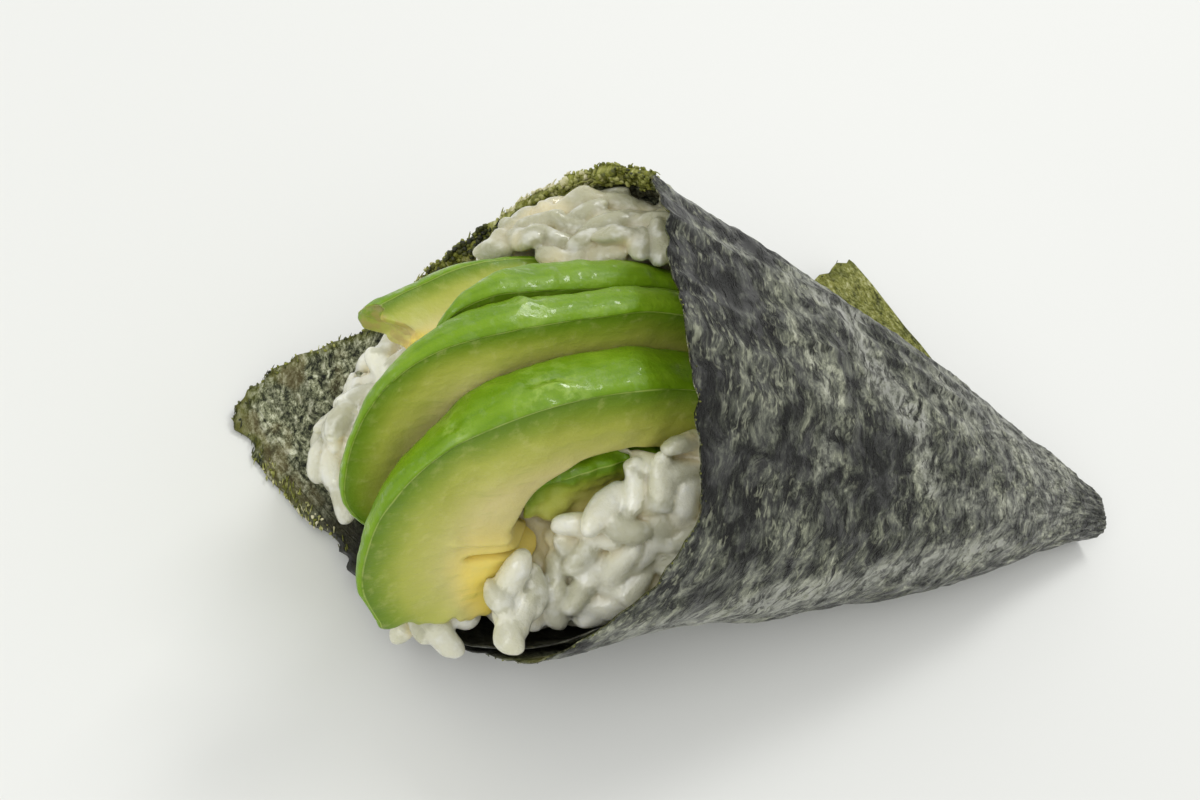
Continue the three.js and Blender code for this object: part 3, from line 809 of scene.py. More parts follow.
# Streaks of painted light and shade on the outside, partly the sheet's own pale streaks, laid out as
# the camera sees them: from and to in the frame, how wide, and how pale, or how dark where below 0.
LIGHT_AND_SHADE_STREAKS = [
    ((690, 222), (790, 276), 7, 0.9), ((790, 276), (858, 322), 8, 0.8),
    ((850, 320), (880, 380), 11, 1.0), ((880, 380), (914, 420), 12, 0.9),
    ((914, 420), (932, 490), 12, 0.8), ((832, 430), (812, 505), 10, 0.6),
    ((800, 310), (830, 400), 14, 0.5), ((664, 204), (770, 256), 6, -1.4),
    ((720, 226), (800, 284), 5, -1.0), ((662, 214), (690, 300), 14, -0.5),
    ((880, 450), (884, 490), 22, -0.9), ((790, 465), (800, 500), 22, -0.6),
    ((838, 530), (850, 550), 18, -0.6), ((700, 262), (730, 300), 18, -0.7),
    ((755, 300), (775, 370), 18, -0.5), ((940, 380), (1060, 475), 30, 0.6),
    ((620, 640), (780, 600), 14, 0.9), ((780, 600), (1000, 545), 16, 0.9),
    ((640, 600), (760, 570), 10, 0.4), ((960, 500), (1060, 520), 20, 0.5),
]


def gauge_points(angles):
    """The cone's section in the gauge plane, a rounded oval, then a straight flap."""
    angles = np.asarray(angles, float)
    turn = np.radians(np.minimum(angles, LEAVES))
    across, up = np.cos(turn), np.sin(turn)
    power = SECTION["power"]
    radius = (np.abs(across) ** power + np.abs(up) ** power) ** (-1 / power)
    y = SECTION["centre_y"] + SECTION["half_width"] * radius * across
    z = APEX[2] - FLAT_DEPTH + SECTION["half_height"] * (1 + radius * up)
    points = np.stack([np.full_like(y, GAUGE_X), y, z], axis=-1)
    if np.any(angles > LEAVES):
        last, before = gauge_points(np.array([LEAVES, LEAVES - 1]))
        out = np.maximum(angles - LEAVES, 0) / (ENDS - LEAVES) * FLAP_REACH
        points = points + out[..., None] * unit(last - before)
    return points


def rays(angles):
    """Unit directions from the apex through the gauge section."""
    return unit(gauge_points(angles) - APEX)


TURN_AT = np.arange(START, ENDS + 1)
TURNED = np.concatenate([
    [0],
    np.cumsum(np.arccos(np.clip(np.sum(rays(TURN_AT[:-1]) * rays(TURN_AT[1:]), axis=1), -1, 1))),
])


def flat_turn(angles):
    """How far the sheet has turned when it is rolled out flat, in radians."""
    return np.interp(angles, TURN_AT, TURNED)


def tip_reach(angles):
    """Where the sheet ends past the tip: a straight cut on the flat sheet."""
    away = flat_turn(angles) - (TURNED[-1] - math.acos(TIP_CUT / FLAP_CORNER_REACH))
    facing = np.cos(away)
    hidden = facing <= TIP_CUT / FLAP_CORNER_REACH / 2
    straight = TIP_CUT / np.where(hidden, 1, facing)
    straight = np.where(away < 0, np.minimum(straight, INNER_TIP_REACH), straight)
    return np.where(hidden, INNER_TIP_REACH, straight)


def flat_place(reach, turn):
    """A place on the sheet when it is rolled out flat."""
    return np.stack([reach * np.sin(turn), reach * np.cos(turn)], axis=-1)


def open_reach(angles):
    """The open edge: the inner lap, the rim round the mouth, then a straight cut."""
    inner = value_along(INNER_EDGE, angles)
    rim = value_along(RIM_EDGE, angles)
    last_angle, last_reach = RIM_EDGE[-1]
    start = flat_place(last_reach, flat_turn(last_angle))
    cut = flat_place(FLAP_CORNER_REACH, TURNED[-1]) - start
    ray = flat_place(np.ones_like(angles, float), flat_turn(angles))
    crossed = ray[:, 0] * cut[1] - ray[:, 1] * cut[0]
    straight = (start[0] * cut[1] - start[1] * cut[0]) / np.where(angles > last_angle, crossed, 1)
    return np.where(angles <= CORNER, inner, np.where(angles <= last_angle, rim, straight))


def sheet_points(angles, reach):
    """Points on the middle of the smooth sheet, for a wrap angle and a reach each."""
    step = 0.5
    ray = rays(angles)
    outward = unit(np.cross(ray, rays(angles + step) - rays(angles - step)))
    turn = np.radians(angles)
    low = eased(-np.sin(turn), 0.6, 0.95)
    ripple = np.sin(3 * turn + reach / 17) + 0.6 * np.sin(5 * turn - reach / 11 + 1)
    belly = BELLY * band(reach, BELLY_BAND)
    dent = (WAVE_HEIGHT * ripple * eased(reach, 20, 90) + belly) * (1 - low)
    dent = dent * (1 - eased(angles, LEAVES - 20, LEAVES))
    lap = LAP_STEP * (1 - eased(angles, LAP_FROM, LAP_FULL))
    underneath = eased(-np.sin(turn), 0.1, 0.9)
    droop = LAP_STEP * eased(reach, *DROOP_REACH) * underneath * (angles < LAP_FROM)
    points = APEX + reach[..., None] * ray + (droop - lap + dent)[..., None] * outward
    points[..., 2] = np.maximum(points[..., 2], SOLID_THICKNESS / 2)
    return points


def creased(angles, reach, points, height):
    """How far pinched creases and crinkles lift the sheet off its smooth form."""
    turn = np.radians(angles)
    round_cone = np.stack([26 * np.cos(turn), 26 * np.sin(turn), reach / 7], axis=-1).reshape(-1, 3)
    flat = points.reshape(-1, 3)
    pinched = ridges(round_cone, 5.5, 3, 2.6) ** 1.5 - 0.25
    long_crease = ridges(round_cone + 40, 3.1, 4, 3.0) - 0.2
    top = band(angles, TOP_CREASES) * eased(reach, 45, 62)
    where = np.clip(0.3 + top * 0.9 + 0.35 * band(angles, LOW_CREASES), 0, 1.2).reshape(-1)
    lift = height * where * (pinched + 0.5 * long_crease) + layered(flat, WALL_BUMPS)
    lift += 0.2 * (ridges(flat, 6.5, 7, 2.8) - 0.3)
    return lift.reshape(angles.shape)


def sheet_angles():
    """The wrap angles of the sheet's columns."""
    parts = [np.linspace(a, b, count, endpoint=False) for (a, b), count in SHEET_COLUMNS.items()]
    return np.append(np.concatenate(parts), ENDS - FLAP_BLUNT)


def ragged_edge(angles, amount):
    """How far the open edge is torn in or stands out, in millimetres."""
    arc = flat_turn(angles) * MEAN_REACH
    line = np.stack([arc, np.zeros_like(arc), np.zeros_like(arc)], axis=-1)
    tear = 0.5 * bumps(line, 3.6, 11) * (1 - 0.6 * band(angles, FRONT_EDGE))
    tear += layered(line, EDGE_NICKS)
    tear += band(angles, TORN_CORNER) * (layered(line, CORNER_TEARS) + 0.8 * ridges(line, 3.1, 15))
    return amount * tear


class SheetGrid:
    """The sheet's two faces as grids of points: a column for each wrap angle, and a row for
    each step from the tip side to the open edge."""

    def __init__(self, settings):
        self.columns = sheet_angles()
        outer_edge = open_reach(self.columns) + ragged_edge(self.columns, settings.ragged)
        inner_edge = tip_reach(self.columns)
        part = np.linspace(0, 1, SHEET_ROWS) ** ROW_CROWDING
        reach = inner_edge[:, None] + (outer_edge - inner_edge)[:, None] * part
        self.angles = np.repeat(self.columns[:, None], SHEET_ROWS, axis=1)
        self.from_edge = outer_edge[:, None] - reach
        self.on_sheet = np.stack(
            [flat_turn(self.angles) * MEAN_REACH, reach, np.zeros_like(reach)], axis=-1,
        )
        smooth = sheet_points(self.angles, reach)
        low = eased(-np.sin(np.radians(self.angles)), 0.85, 0.97) * (self.angles < LEAVES + 10)
        lift = creased(self.angles, reach, smooth, settings.crease) * (1 - low)
        middle = smooth + grid_normals(smooth) * lift[..., None]
        self.normals = grid_normals(middle)
        self.rim = band(self.angles, BACK_RIM) * (1 - eased(self.from_edge, 2.2, 3.4))
        flat = self.on_sheet.reshape(-1, 3)
        lumps = (0.5 + layered(flat, RIM_LUMPS)).reshape(reach.shape)
        half = settings.thickness / 2 * (0.45 + 0.55 * eased(self.from_edge, 0, 2.5))
        fine = ridges(flat * (0.6, 1.6, 1), 1.5, 21, 2.5).reshape(reach.shape)
        out = half + settings.relief * (fine - 0.4) + 0.35 * self.rim * lumps
        into = half + 0.9 * self.rim * np.maximum(lumps, 0)
        self.outer = middle + self.normals * out[..., None]
        self.inner = middle - self.normals * into[..., None]
        self.outer[..., 2] = np.maximum(self.outer[..., 2], 0)
        self.inner[..., 2] = np.maximum(self.inner[..., 2], settings.thickness * 0.8)


def seen_at(points):
    """Where the camera sees points, in the frame's pixels."""
    right, up, forward = camera_axes()
    away = points - np.array(CAMERA_PLACE)
    ahead = away @ forward
    return np.stack([
        FRAME_WIDTH / 2 + FOCUS * (away @ right) / ahead,
        FRAME_HEIGHT / 2 - FOCUS * (away @ up) / ahead,
    ], axis=-1)


def painted_light_streaks(points, normals):
    """How much painted light the outside takes: 0 for plain, 1 for the palest streak, below 0 for
    dark ones of painted shade.
    """
    seen = seen_at(points)
    total = np.zeros(points.shape[:-1])
    for start, end, width, strength in LIGHT_AND_SHADE_STREAKS:
        along = np.subtract(end, start)
        part = np.clip((seen - start) @ along / (along @ along), 0, 1)
        off = np.linalg.norm(seen - start - part[..., None] * along, axis=-1)
        total += strength * np.exp(-((off / width) ** 2))
    facing = np.sum(normals * (np.array(CAMERA_PLACE) - points), axis=-1) > 0
    return np.clip(total, -1, 1) * facing


def build_sheet(grid):
    """The sheet as points, faces and what its material reads: how far each point is from the open
    edge, where the fibres run along the roll, the wet parts, darkened partly as painted shade, the
    thick and flat parts, and the streaks of painted light and shade."""
    count = len(grid.columns)
    size = count * SHEET_ROWS
    back = grid_faces(count, SHEET_ROWS) + size
    front = back[:, ::-1] - size
    index = np.arange(size).reshape(count, SHEET_ROWS)
    border = np.concatenate([index[:, 0], index[-1, 1:], index[-2::-1, -1], index[0, -2:0:-1]])
    after = np.roll(border, -1)
    rim = np.stack([border, after, after + size, border + size], axis=-1)
    points = np.concatenate([grid.outer.reshape(-1, 3), grid.inner.reshape(-1, 3)])
    faces = np.concatenate([front, back, rim])
    angles = grid.angles
    wet = 1 - eased(angles, *WET_START) + eased(angles, *WET_LAP) * (angles < WET_LAP_ENDS)
    values = {
        "edge": grid.from_edge, "under": eased(angles, *LOW_FRONT),
        "wet": np.clip(WETTEST * wet, 0, 1), "rim": grid.rim, "flap": eased(angles, *FLAP_FROM),
        "pale": painted_light_streaks(grid.outer, grid.normals),
    }
    both = {name: np.tile(value.reshape(-1), 2) for name, value in values.items()}
    both["inner"] = np.repeat([0.0, 1.0], size)
    return points, faces, both, np.tile(grid.on_sheet.reshape(-1, 3), (2, 1))


def add_sheet(settings):
    """The sheet and the bits that hang on its edge."""
    grid = SheetGrid(settings)
    points, faces, values, places = build_sheet(grid)
    finish = seaweed_finish(settings)
    sheet = add_piece("seaweed_sheet", points, faces, finish, ["nori"])
    for name, value in values.items():
        set_values(sheet, name, value)
    set_places(sheet, "wrap_place", places)
    add_torn_bits(grid)


# ---- Torn bits along the sheet's edge ----

CRUMB_ROWS, CRUMB_SECTION = 6, 7
FIBRE_STEPS, FIBRE_SECTION = 6, 4
TornZone = namedtuple("TornZone", "angles inner crumbs fibres size reach pale")
# Where bits hang on the open edge: between which wrap angles, whether on the inner face, how many
# crumbs and fibres, their size in millimetres, how far in they reach, and how pale they are.
TORN = [
    TornZone((318, 408), True, 900, 60, 0.8, 2.4, 0.44),
    TornZone((372, 390), True, 110, 10, 1.0, 1.6, 0.58),
    TornZone((320, 338), False, 40, 30, 0.8, 0.6, 0.72),
    TornZone((346, 366), False, 40, 40, 0.8, 0.6, 0.75),
    TornZone((366, 406), False, 60, 30, 0.7, 0.6, 0.6),
    TornZone((455, 604), False, 70, 30, 0.28, 0.4, 0.34),
    TornZone((292, 318), True, 60, 50, 0.5, 1.2, 0.35),
    TornZone((255, 290), True, 20, 70, 0.5, 1.0, 0.24),
    TornZone((262, 278), True, 30, 50, 0.5, 2.0, 0.5),
    TornZone((622, 701), True, 60, 30, 0.4, 0.8, 0.4),
]
# How widely the fibres' turns away from the edge's own line are spread, in radians.
FIBRE_SWING = 0.6
# A crumb's half sizes, as shares of its size, and the least height of a bit above the table.
CRUMB_SHAPE = (0.5, 0.36, 0.24)
LEAST_HEIGHT = 0.05


def crumb(place, axes, size, seed):
    """A small lump with an uneven skin."""
    around = np.linspace(0, 2 * math.pi, CRUMB_SECTION, endpoint=False)
    up = np.linspace(0.15, math.pi - 0.15, CRUMB_ROWS)
    ball = np.stack([
        np.outer(np.sin(up), np.cos(around)), np.outer(np.sin(up), np.sin(around)),
        np.outer(np.cos(up), np.ones_like(around)),
    ], axis=-1).reshape(-1, 3)
    ball *= 1 + 0.4 * bumps(ball + seed * 3.1, 0.9, 71)[:, None]
    return place + (ball * CRUMB_SHAPE * size) @ axes, tube_faces(CRUMB_ROWS, CRUMB_SECTION)


def fibre(place, axes, size, curl):
    """A thin curled strip that lies along the first axis and lifts along the last."""
    at = np.linspace(0, 1, FIBRE_STEPS)
    width = 0.2 * size * (1 - 0.8 * at**2)
    middle = np.stack([at * size, 0.25 * size * curl * at**2, 0.4 * size * (at - at**2)], axis=-1)
    side = np.stack([np.zeros_like(at), width / 2, np.zeros_like(at)], axis=-1)
    thick = np.array([0, 0, 0.05 + 0.03 * size])
    rings = np.stack([middle - side, middle + side, middle + side + thick, middle - side + thick])
    points = rings.transpose(1, 0, 2).reshape(-1, 3)
    return place + points @ axes, flipped(tube_faces(FIBRE_STEPS, FIBRE_SECTION))


def crumb_axes(out, turn, tilt, tone):
    """Axes for a crumb that leans any way, mostly flat on the sheet."""
    lean = unit(np.array([turn, tilt, tone]) - 0.5)
    lean = unit(lean - 0.8 * out * (lean @ out))
    return np.stack([lean, unit(np.cross(out, lean)), out])


def fibre_axes(out, to_edge, turn, tilt, tone):
    """Axes for a fibre that lies along the edge, to either side, and lifts a little."""
    swing = (turn - 0.3) * FIBRE_SWING
    way = 1 if tone > 0.5 else -1
    beside = unit(np.cross(out, to_edge))
    lying = to_edge * math.sin(swing) + way * beside * math.cos(swing)
    lying = unit(lying + out * (0.4 * tilt - 0.12))
    lifted = unit(out - lying * (out @ lying))
    return np.stack([lying, np.cross(lifted, lying), lifted])


def add_torn_bits(grid):
    """Crumbs and fibres on the torn edge, drawn zone by zone."""
    random = np.random.default_rng(17)
    parts, pale = [], []
    for zone in TORN:
        face = grid.inner if zone.inner else grid.outer
        facing = -grid.normals if zone.inner else grid.normals
        first, last = np.searchsorted(grid.columns, zone.angles)
        for k in range(zone.crumbs + zone.fibres):
            column = random.integers(first, last)
            inward, turn, tilt, size, tone = random.random(5)
            row = np.argmin(np.abs(grid.from_edge[column] - inward**1.5 * zone.reach))
            place, out = face[column, row], facing[column, row]
            size = zone.size * (0.5 + 0.7 * size)
            if k < zone.crumbs:
                axes = crumb_axes(out, turn, tilt, tone)
                parts.append(crumb(place + out * 0.12 * size, axes, size, k))
            else:
                to_edge = unit(face[column, -1] - face[column, -4])
                axes = fibre_axes(out, to_edge, turn, tilt, tone)
                parts.append(fibre(place, axes, size * 1.5, 2 * tone - 1))
            amount = zone.pale + 0.4 * (tone - 0.5) + 0.4 * bumps(place[None], 6, 72)[0]
            pale.extend([amount] * len(parts[-1][0]))
    points, faces = merged(parts)
    points[:, 2] = np.maximum(points[:, 2], LEAST_HEIGHT)
    bits = add_piece("seaweed_torn_bits", points, faces, torn_finish())
    set_values(bits, "pale", pale)
    set_places(bits, "place", points)


# ---- Avocado ----

# The planes that the slices' faces lie in: the fan's, and the one lying flatter behind it.
FAN_ORIGIN, FAN_FACING = (-20.8, -20.1, 39), (0.3, -0.9, 0.31)
LYING_ORIGIN, LYING_FACING = (-36.6, 0.7, 31), (0, -0.25, 0.97)
# A slice is a bent bar. Each station gives the skin edge and the stone edge of its face, how
# far the face is set back, the thickness there, and how far the slice has turned towards its
# hanging end, in degrees: (along, up, along, up, back, thickness, turn).
SLICES = {
    "avocado_slice_1": (FAN_ORIGIN, FAN_FACING, [
        (-29, -26, -16.4, -27.4, 0, 5.4, 38), (-31.8, -20, -12.8, -21.4, 0, 5.6, 38),
        (-31.8, -14.5, -16.4, -17.5, 0, 5.8, 36), (-30.4, -9.5, -15.6, -14, 0, 6, 32),
        (-27, -5, -14.4, -11.6, 0, 6.2, 24), (-22, -1.8, -12.4, -9.8, 0, 6.5, 14),
        (-15, 0.2, -9.6, -8.2, 0, 6.9, 5), (-7, 0.9, -5.4, -7.4, 0, 7.3, 0),
        (1, 0.2, 0.5, -8.2, 0, 7.5, 0), (11, -3, 9, -11.4, 0, 7.4, 0),
        (20, -8, 17.5, -15.5, 0, 6.8, 0), (27, -12.5, 24.5, -18, 0, 6, 0),
    ]),
    "avocado_slice_2": (FAN_ORIGIN, FAN_FACING, [
        (-27.4, -19.4, -15, -21.5, 6.2, 4.4, 42), (-31.8, -14.2, -15.8, -17, 6.2, 4.6, 42),
        (-32.4, -9.2, -16.4, -13, 6.3, 4.8, 42), (-31.4, -4.2, -16.4, -9.4, 6.5, 4.8, 42),
        (-29.2, -0.2, -15.6, -6.8, 6.7, 4.8, 40), (-25.8, 2.4, -13.6, -5.2, 7, 4.8, 32),
        (-21, 3.8, -11.6, -4.8, 7.3, 4.9, 20), (-14, 4.5, -8.6, -4.6, 7.6, 5, 8),
        (-6, 4.6, -4.4, -4.8, 7.9, 5, 0), (1, 4.4, 0.5, -5, 8, 5, 0),
        (11, 1.4, 9, -7.6, 7.9, 5, 0), (20, -3.4, 17.5, -12, 7.3, 5.3, 0),
        (28, -9, 25, -16.5, 6.5, 5.5, 0),
    ]),
    "avocado_slice_3": (FAN_ORIGIN, FAN_FACING, [
        (-22.4, -2, -17.6, -7, 12.2, 2.4, 50), (-21.4, 2, -15, -6, 12.3, 3, 46),
        (-19.6, 4, -12.6, -5, 12.5, 3.8, 38), (-16.2, 5.1, -10, -4.8, 12.7, 4.5, 28),
        (-12, 5, -7, -4.8, 12.9, 5.1, 16), (-5, 4.4, -3.4, -5, 13.3, 5.3, 6),
        (4, 3.6, 3.6, -5.8, 13.5, 5.2, 0), (13, 0.6, 12, -8.6, 13.4, 5, 0),
        (21, -4, 19.4, -12.4, 13, 4.6, 0),
    ]),
    "avocado_slice_4": (LYING_ORIGIN, LYING_FACING, [
        (-13.6, -8, -6.9, -11.6, 0, 4.2, -10), (-12.4, -6.9, -5, -12, 0, 4.4, -10),
        (-8.9, -4.1, -1.4, -10.6, 0, 4.6, -8), (-2.2, -0.3, 4, -7.6, 0, 4.6, -4),
        (6, 1.8, 9, -5.6, 0.6, 4.4, 0), (16, 2.4, 17, -4.6, 3.4, 4.2, 0),
        (24, 2, 24, -4, 6.6, 4, 0),
    ]),
    "avocado_slice_5": (FAN_ORIGIN, FAN_FACING, [
        (-14.4, -14.6, -11.6, -17.4, 2.6, 3.4, 20), (-13, -12.6, -8.6, -17.6, 2, 4.4, 15),
        (-9.6, -10.9, -4.6, -15.6, 1.6, 5, 8), (-5, -9.6, -1.6, -14.2, 1.2, 5.2, 0),
        (1, -9.6, 3, -14, 1.2, 5.2, 0), (9, -12.6, 9.6, -17, 1.4, 4.8, 0),
        (17, -17, 16.4, -21, 1.8, 4.4, 0),
    ]),
}
# The bar's section as (across, deep) shares, where across 1 is the skin side and deep 0 the
# face, and each side's share of the section's points.
SECTION_CORNERS = [(0, 0.1), (0.4, 0), (1, 0), (1, 1), (0.4, 1), (0, 0.9)]
SIDE_SHARES = [0.22, 0.32, 0.24, 0.32, 0.22, 0.14]
# How far the skin side stands out in its middle, and how often the corners are softened.
SKIN_BULGE = 0.9
CORNER_ROUNDINGS = 3
# Rings along a slice, points round each, rings that shut each end, and rings that are torn.
SLICE_RINGS = 190
SECTION_POINTS = 120
CAP_RINGS = 9
TORN_RINGS = 5
# About how far apart a slice's points are, in millimetres.
POINT_STEP = 0.37
BROWNED_SLICE = "avocado_slice_4"
LUMPY_SLICE = "avocado_slice_5"
# Slices whose faces turn pale closer to the skin than the others' do: partly their own paler flesh,
# partly painted light on slices that lie in the others' shade.
PALE_FACES = {"avocado_slice_4": 2.1, "avocado_slice_2": 1.3, "avocado_slice_5": 1.7}
# How yellow the stone side is, from the hanging end to the inner end, held between 0 and 1.
YELLOWING = (1.6, -4)
# Where the skin side is crinkled and wet, with a painted highlight on it, and how far round there, in
# the frame's pixels.
CRINKLES = [((548, 392), 30), ((566, 402), 22), ((452, 430), 20), ((530, 306), 18), ((398, 392), 20)]
# The slit in the front slice's face and the fold beside it: its ring of points, how many rings
# wide it is, from which to which depth under the skin it rises, and how far it moves the face.
SLIT_SLICE = "avocado_slice_1"
FACE_MARKS = [(34, 1.4, (11, 12.5), -1.8), (45, 2.2, (8, 10), 0.5)]
# Layers of bumps: the height, size and seed of each.
SLICE_WAVES = [(0.28, 5, 32), (0.1, 1.8, 33)]
SLICE_LUMPS = [(0.7, 2.6, 35), (0.35, 1.2, 36)]
END_CRAGS = [(0.9, 1.8, 41), (0.5, 0.9, 42)]


def through(values, positions):
    """A smooth curve through evenly spaced rows of values (Catmull-Rom)."""
    rows = np.asarray(values, float)
    place = np.clip(positions, 0, 1) * (len(rows) - 1)
    i = np.clip(np.floor(place).astype(int), 0, len(rows) - 2)
    t = (place - i)[:, None]
    padded = np.concatenate([[2 * rows[0] - rows[1]], rows, [2 * rows[-1] - rows[-2]]])
    a, b, c, d = (padded[i + k] for k in range(4))
    return 0.5 * (2 * b + (c - a) * t + (2 * a - 5 * b + 4 * c - d) * t**2
                  + (3 * b - a - 3 * c + d) * t**3)


def face_axes(facing):
    """Axes along a slice's face, up it and out of it."""
    out = unit(np.array(facing, float))
    along = unit(np.cross((0, 0, 1), out))
    return along, np.cross(out, along), out


def slice_outline():
    """The section's points, as (across, deep) shares."""
    counts = [round(SECTION_POINTS * share / sum(SIDE_SHARES)) for share in SIDE_SHARES]
    after = SECTION_CORNERS[1:] + SECTION_CORNERS[:1]
    return np.concatenate([
        np.linspace(corner, following, count, endpoint=False)
        for corner, following, count in zip(SECTION_CORNERS, after, counts)
    ])


def build_slice(origin, facing, stations):
    """A slice's points, faces, and its depth under the skin and skin share at each point."""
    along_axis, up_axis, out_axis = face_axes(facing)
    rows = through(stations, np.linspace(0, 1, SLICE_RINGS))
    skin, stone = rows[:, 0:2], rows[:, 2:4]
    back, deep, turn = rows[:, 4], rows[:, 5], np.radians(rows[:, 6])
    across, inside = slice_outline().T
    on_skin = across > 0.999
    bulge = np.where(on_skin, SKIN_BULGE * (1 - (2 * inside - 1) ** 2), 0)
    width = np.linalg.norm(skin - stone, axis=1, keepdims=True)
    direction = (skin - stone) / width
    place = stone[:, None] + (skin - stone)[:, None] * across[None, :, None]
    place = place + direction[:, None] * bulge[None, :, None]
    depth_in = deep[:, None] * inside[None]
    x = place[..., 0] + depth_in * np.sin(turn)[:, None]
    set_back = back[:, None] + depth_in * np.cos(turn)[:, None]
    rings = (np.array(origin) + x[..., None] * along_axis + place[..., 1][..., None] * up_axis
             - set_back[..., None] * out_axis)
    for _ in range(CORNER_ROUNDINGS):
        rings = 0.5 * rings + 0.25 * (np.roll(rings, 1, axis=1) + np.roll(rings, -1, axis=1))
    depth = width * (1 - across)[None]
    skin_share = np.repeat(np.where(on_skin, 1.0, 0.0)[None], SLICE_RINGS, axis=0)
    first = cap_rings(rings[0], rings[1], depth[0])
    last = cap_rings(rings[-1], rings[-2], depth[-1])
    rings = np.concatenate([first[0][::-1], rings, last[0]])
    depth = np.concatenate([first[1][::-1], depth, last[1]])
    blank = np.zeros((CAP_RINGS, len(across)))
    skin_share = np.concatenate([blank, skin_share, blank])
    faces = tube_faces(len(rings), len(across))
    return rings.reshape(-1, 3), faces, depth.reshape(-1), skin_share.reshape(-1)


def cap_rings(ring, before, depth):
    """Rings that close a cut end: they shrink to the middle, a little rounded at the edge."""
    middle = ring.mean(axis=0)
    outward = unit(ring.mean(axis=0) - before.mean(axis=0))
    shares = np.linspace(0.04, 0.99, CAP_RINGS) ** 1.2
    rounding = 0.5 * (1 - (1 - np.minimum(shares * 6, 1)) ** 2)
    rings = np.stack([middle + (ring - middle) * (1 - s) + outward * r
                      for s, r in zip(shares, rounding)])
    middle_depth = depth.mean()
    depths = np.stack([middle_depth + (depth - middle_depth) * (1 - s) for s in shares])
    return rings, depths


def torn_end(points):
    """Moves that roughen a slice's hanging end, and how near to that end each point is."""
    rings = points.reshape(-1, SECTION_POINTS, 3)
    last, before = (rings[CAP_RINGS + k].mean(axis=0) for k in (0, 2))
    ring = np.arange(len(points)) // SECTION_POINTS
    near = eased(CAP_RINGS + TORN_RINGS - ring, 0, TORN_RINGS)
    return unit(last - before) * (near * layered(points, END_CRAGS))[:, None], near


def face_marks(points, depth):
    """Moves that open the slit in the front slice's face and raise the fold beside it."""
    ring = np.arange(len(points)) // SECTION_POINTS
    out = sum(
        move * np.exp(-(((ring - middle) / width) ** 2)) * eased(depth, *under)
        for middle, width, under, move in FACE_MARKS
    )
    return face_axes(FAN_FACING)[2] * out[:, None]


def crinkles(points, skin):
    """Where the skin side is crinkled, from 0 to about 1."""
    seen = seen_at(points)
    return skin * sum(
        np.exp(-(np.linalg.norm(seen - middle, axis=1) / reach) ** 2) for middle, reach in CRINKLES
    )


def add_slices(settings):
    """The five slices, each with a soft uneven skin and a torn hanging end."""
    finish = avocado_finish(settings)
    for name, (origin, facing, stations) in SLICES.items():
        points, faces, depth, skin = build_slice(origin, facing, stations)
        crinkled = crinkles(points, skin)
        lift = layered(points, SLICE_WAVES)
        lift += skin * (0.12 * ridges(points, 4, 31, 2) + 0.04 * bumps(points, 0.8, 34))
        lift += crinkled * (0.4 * ridges(points, 2.6, 37, 2.2) + 0.18 * bumps(points, 1.1, 38))
        if name == LUMPY_SLICE:
            lift += layered(points, SLICE_LUMPS)
        moves, end = torn_end(points)
        if name == SLIT_SLICE:
            moves += face_marks(points, depth)
        points = points + point_normals(points, faces) * lift[:, None] + moves
        piece = add_piece(name + "_flesh", points, faces, finish, [name])
        set_values(piece, "depth", depth * PALE_FACES.get(name, 1))
        set_values(piece, "skin", skin)
        set_values(piece, "crinkled", np.clip(crinkled, 0, 1))
        set_values(piece, "hang", np.linspace(*YELLOWING, len(points)).clip(0, 1))
        set_values(piece, "browned", end * (name == BROWNED_SLICE))
        ring, spot = np.divmod(np.arange(len(points)), SECTION_POINTS)
        set_places(piece, "run", np.stack([ring, spot, 0 * ring], axis=-1) * POINT_STEP)
        set_places(piece, "place", points)


# ---- Rice ----

# The core under the grains: the solid heap smoothed, shrunk and kept below the rim behind.
CORE_VOXEL = 0.9
CORE_SMOOTHING = {"factor": 0.6, "iterations": 14}
CORE_SHRINK = 0.8
CORE_BELOW_RIM = 3.0
# Where the core falls back beside the fan: from and to along -X and -Y, and how deep.
HOLLOW_X, HOLLOW_Y, HOLLOW_DEPTH = (40, 47), (15, 20), 7
# The finished heap: the voxel that melts the grains together, and the triangles that it keeps.
HEAP_VOXEL = 0.25
HEAP_SMOOTHING = {"factor": 0.5, "iterations": 1}
HEAP_TRIANGLES = 190000
# Where the heap is greyed as painted shade, behind and high up, and how far off the core its painted
# shade between the grains fades.
SHADE_Y, SHADE_Z = (-16, -2), (24, 30)
DEEP_HEIGHT = (0.2, 1.7)
# Scattered grains lie on the mouth's side of this X, in so many draws.
MOUTH_SIDE_X = -10
GRAIN_DRAWS = 9000
GRAIN_RINGS = 14
GRAIN_SECTION = 14
# Sizes and depths of the dents in a grain, in millimetres.
GRAIN_DENTS = [(2.2, 0.3), (1.1, 0.08)]
# How far the rice stays below the rim behind, and up to which wrap angle it does.
BACK_RIM_HEIGHT = 1.6
BACK_RIM_TO = 480
# How clear a grain stays of the slices and the sheet, how near a slice matters, how far under
# the heap's skin the tests against the sheet start, and at every how many points they are made.
SLICE_GAP, SHEET_GAP = 0.05, 0.15
SLICE_NEAR = 6
TEST_DEPTH = 1.2
TEST_EVERY = 3
# How a grain is tried until it fits: its share of the full length, and how many of its own
# widths lower it lies.
FITTINGS = [(1, 0), (1, 0.3), (0.85, 0.15), (0.72, 0.3), (0.6, 0.45)]
# Where the core has no skin in view, a grain lies this far behind the solid's skin instead.
SOLID_SINK = 1.0
# How much a placed grain turns from the heap's own skin towards the camera, how square to the
# line of sight it is taken to be at least, and how far it may lean along that line.
TOWARDS_CAMERA = 0.6
LEAST_SQUARE = -0.35
MOST_LEAN = 0.9
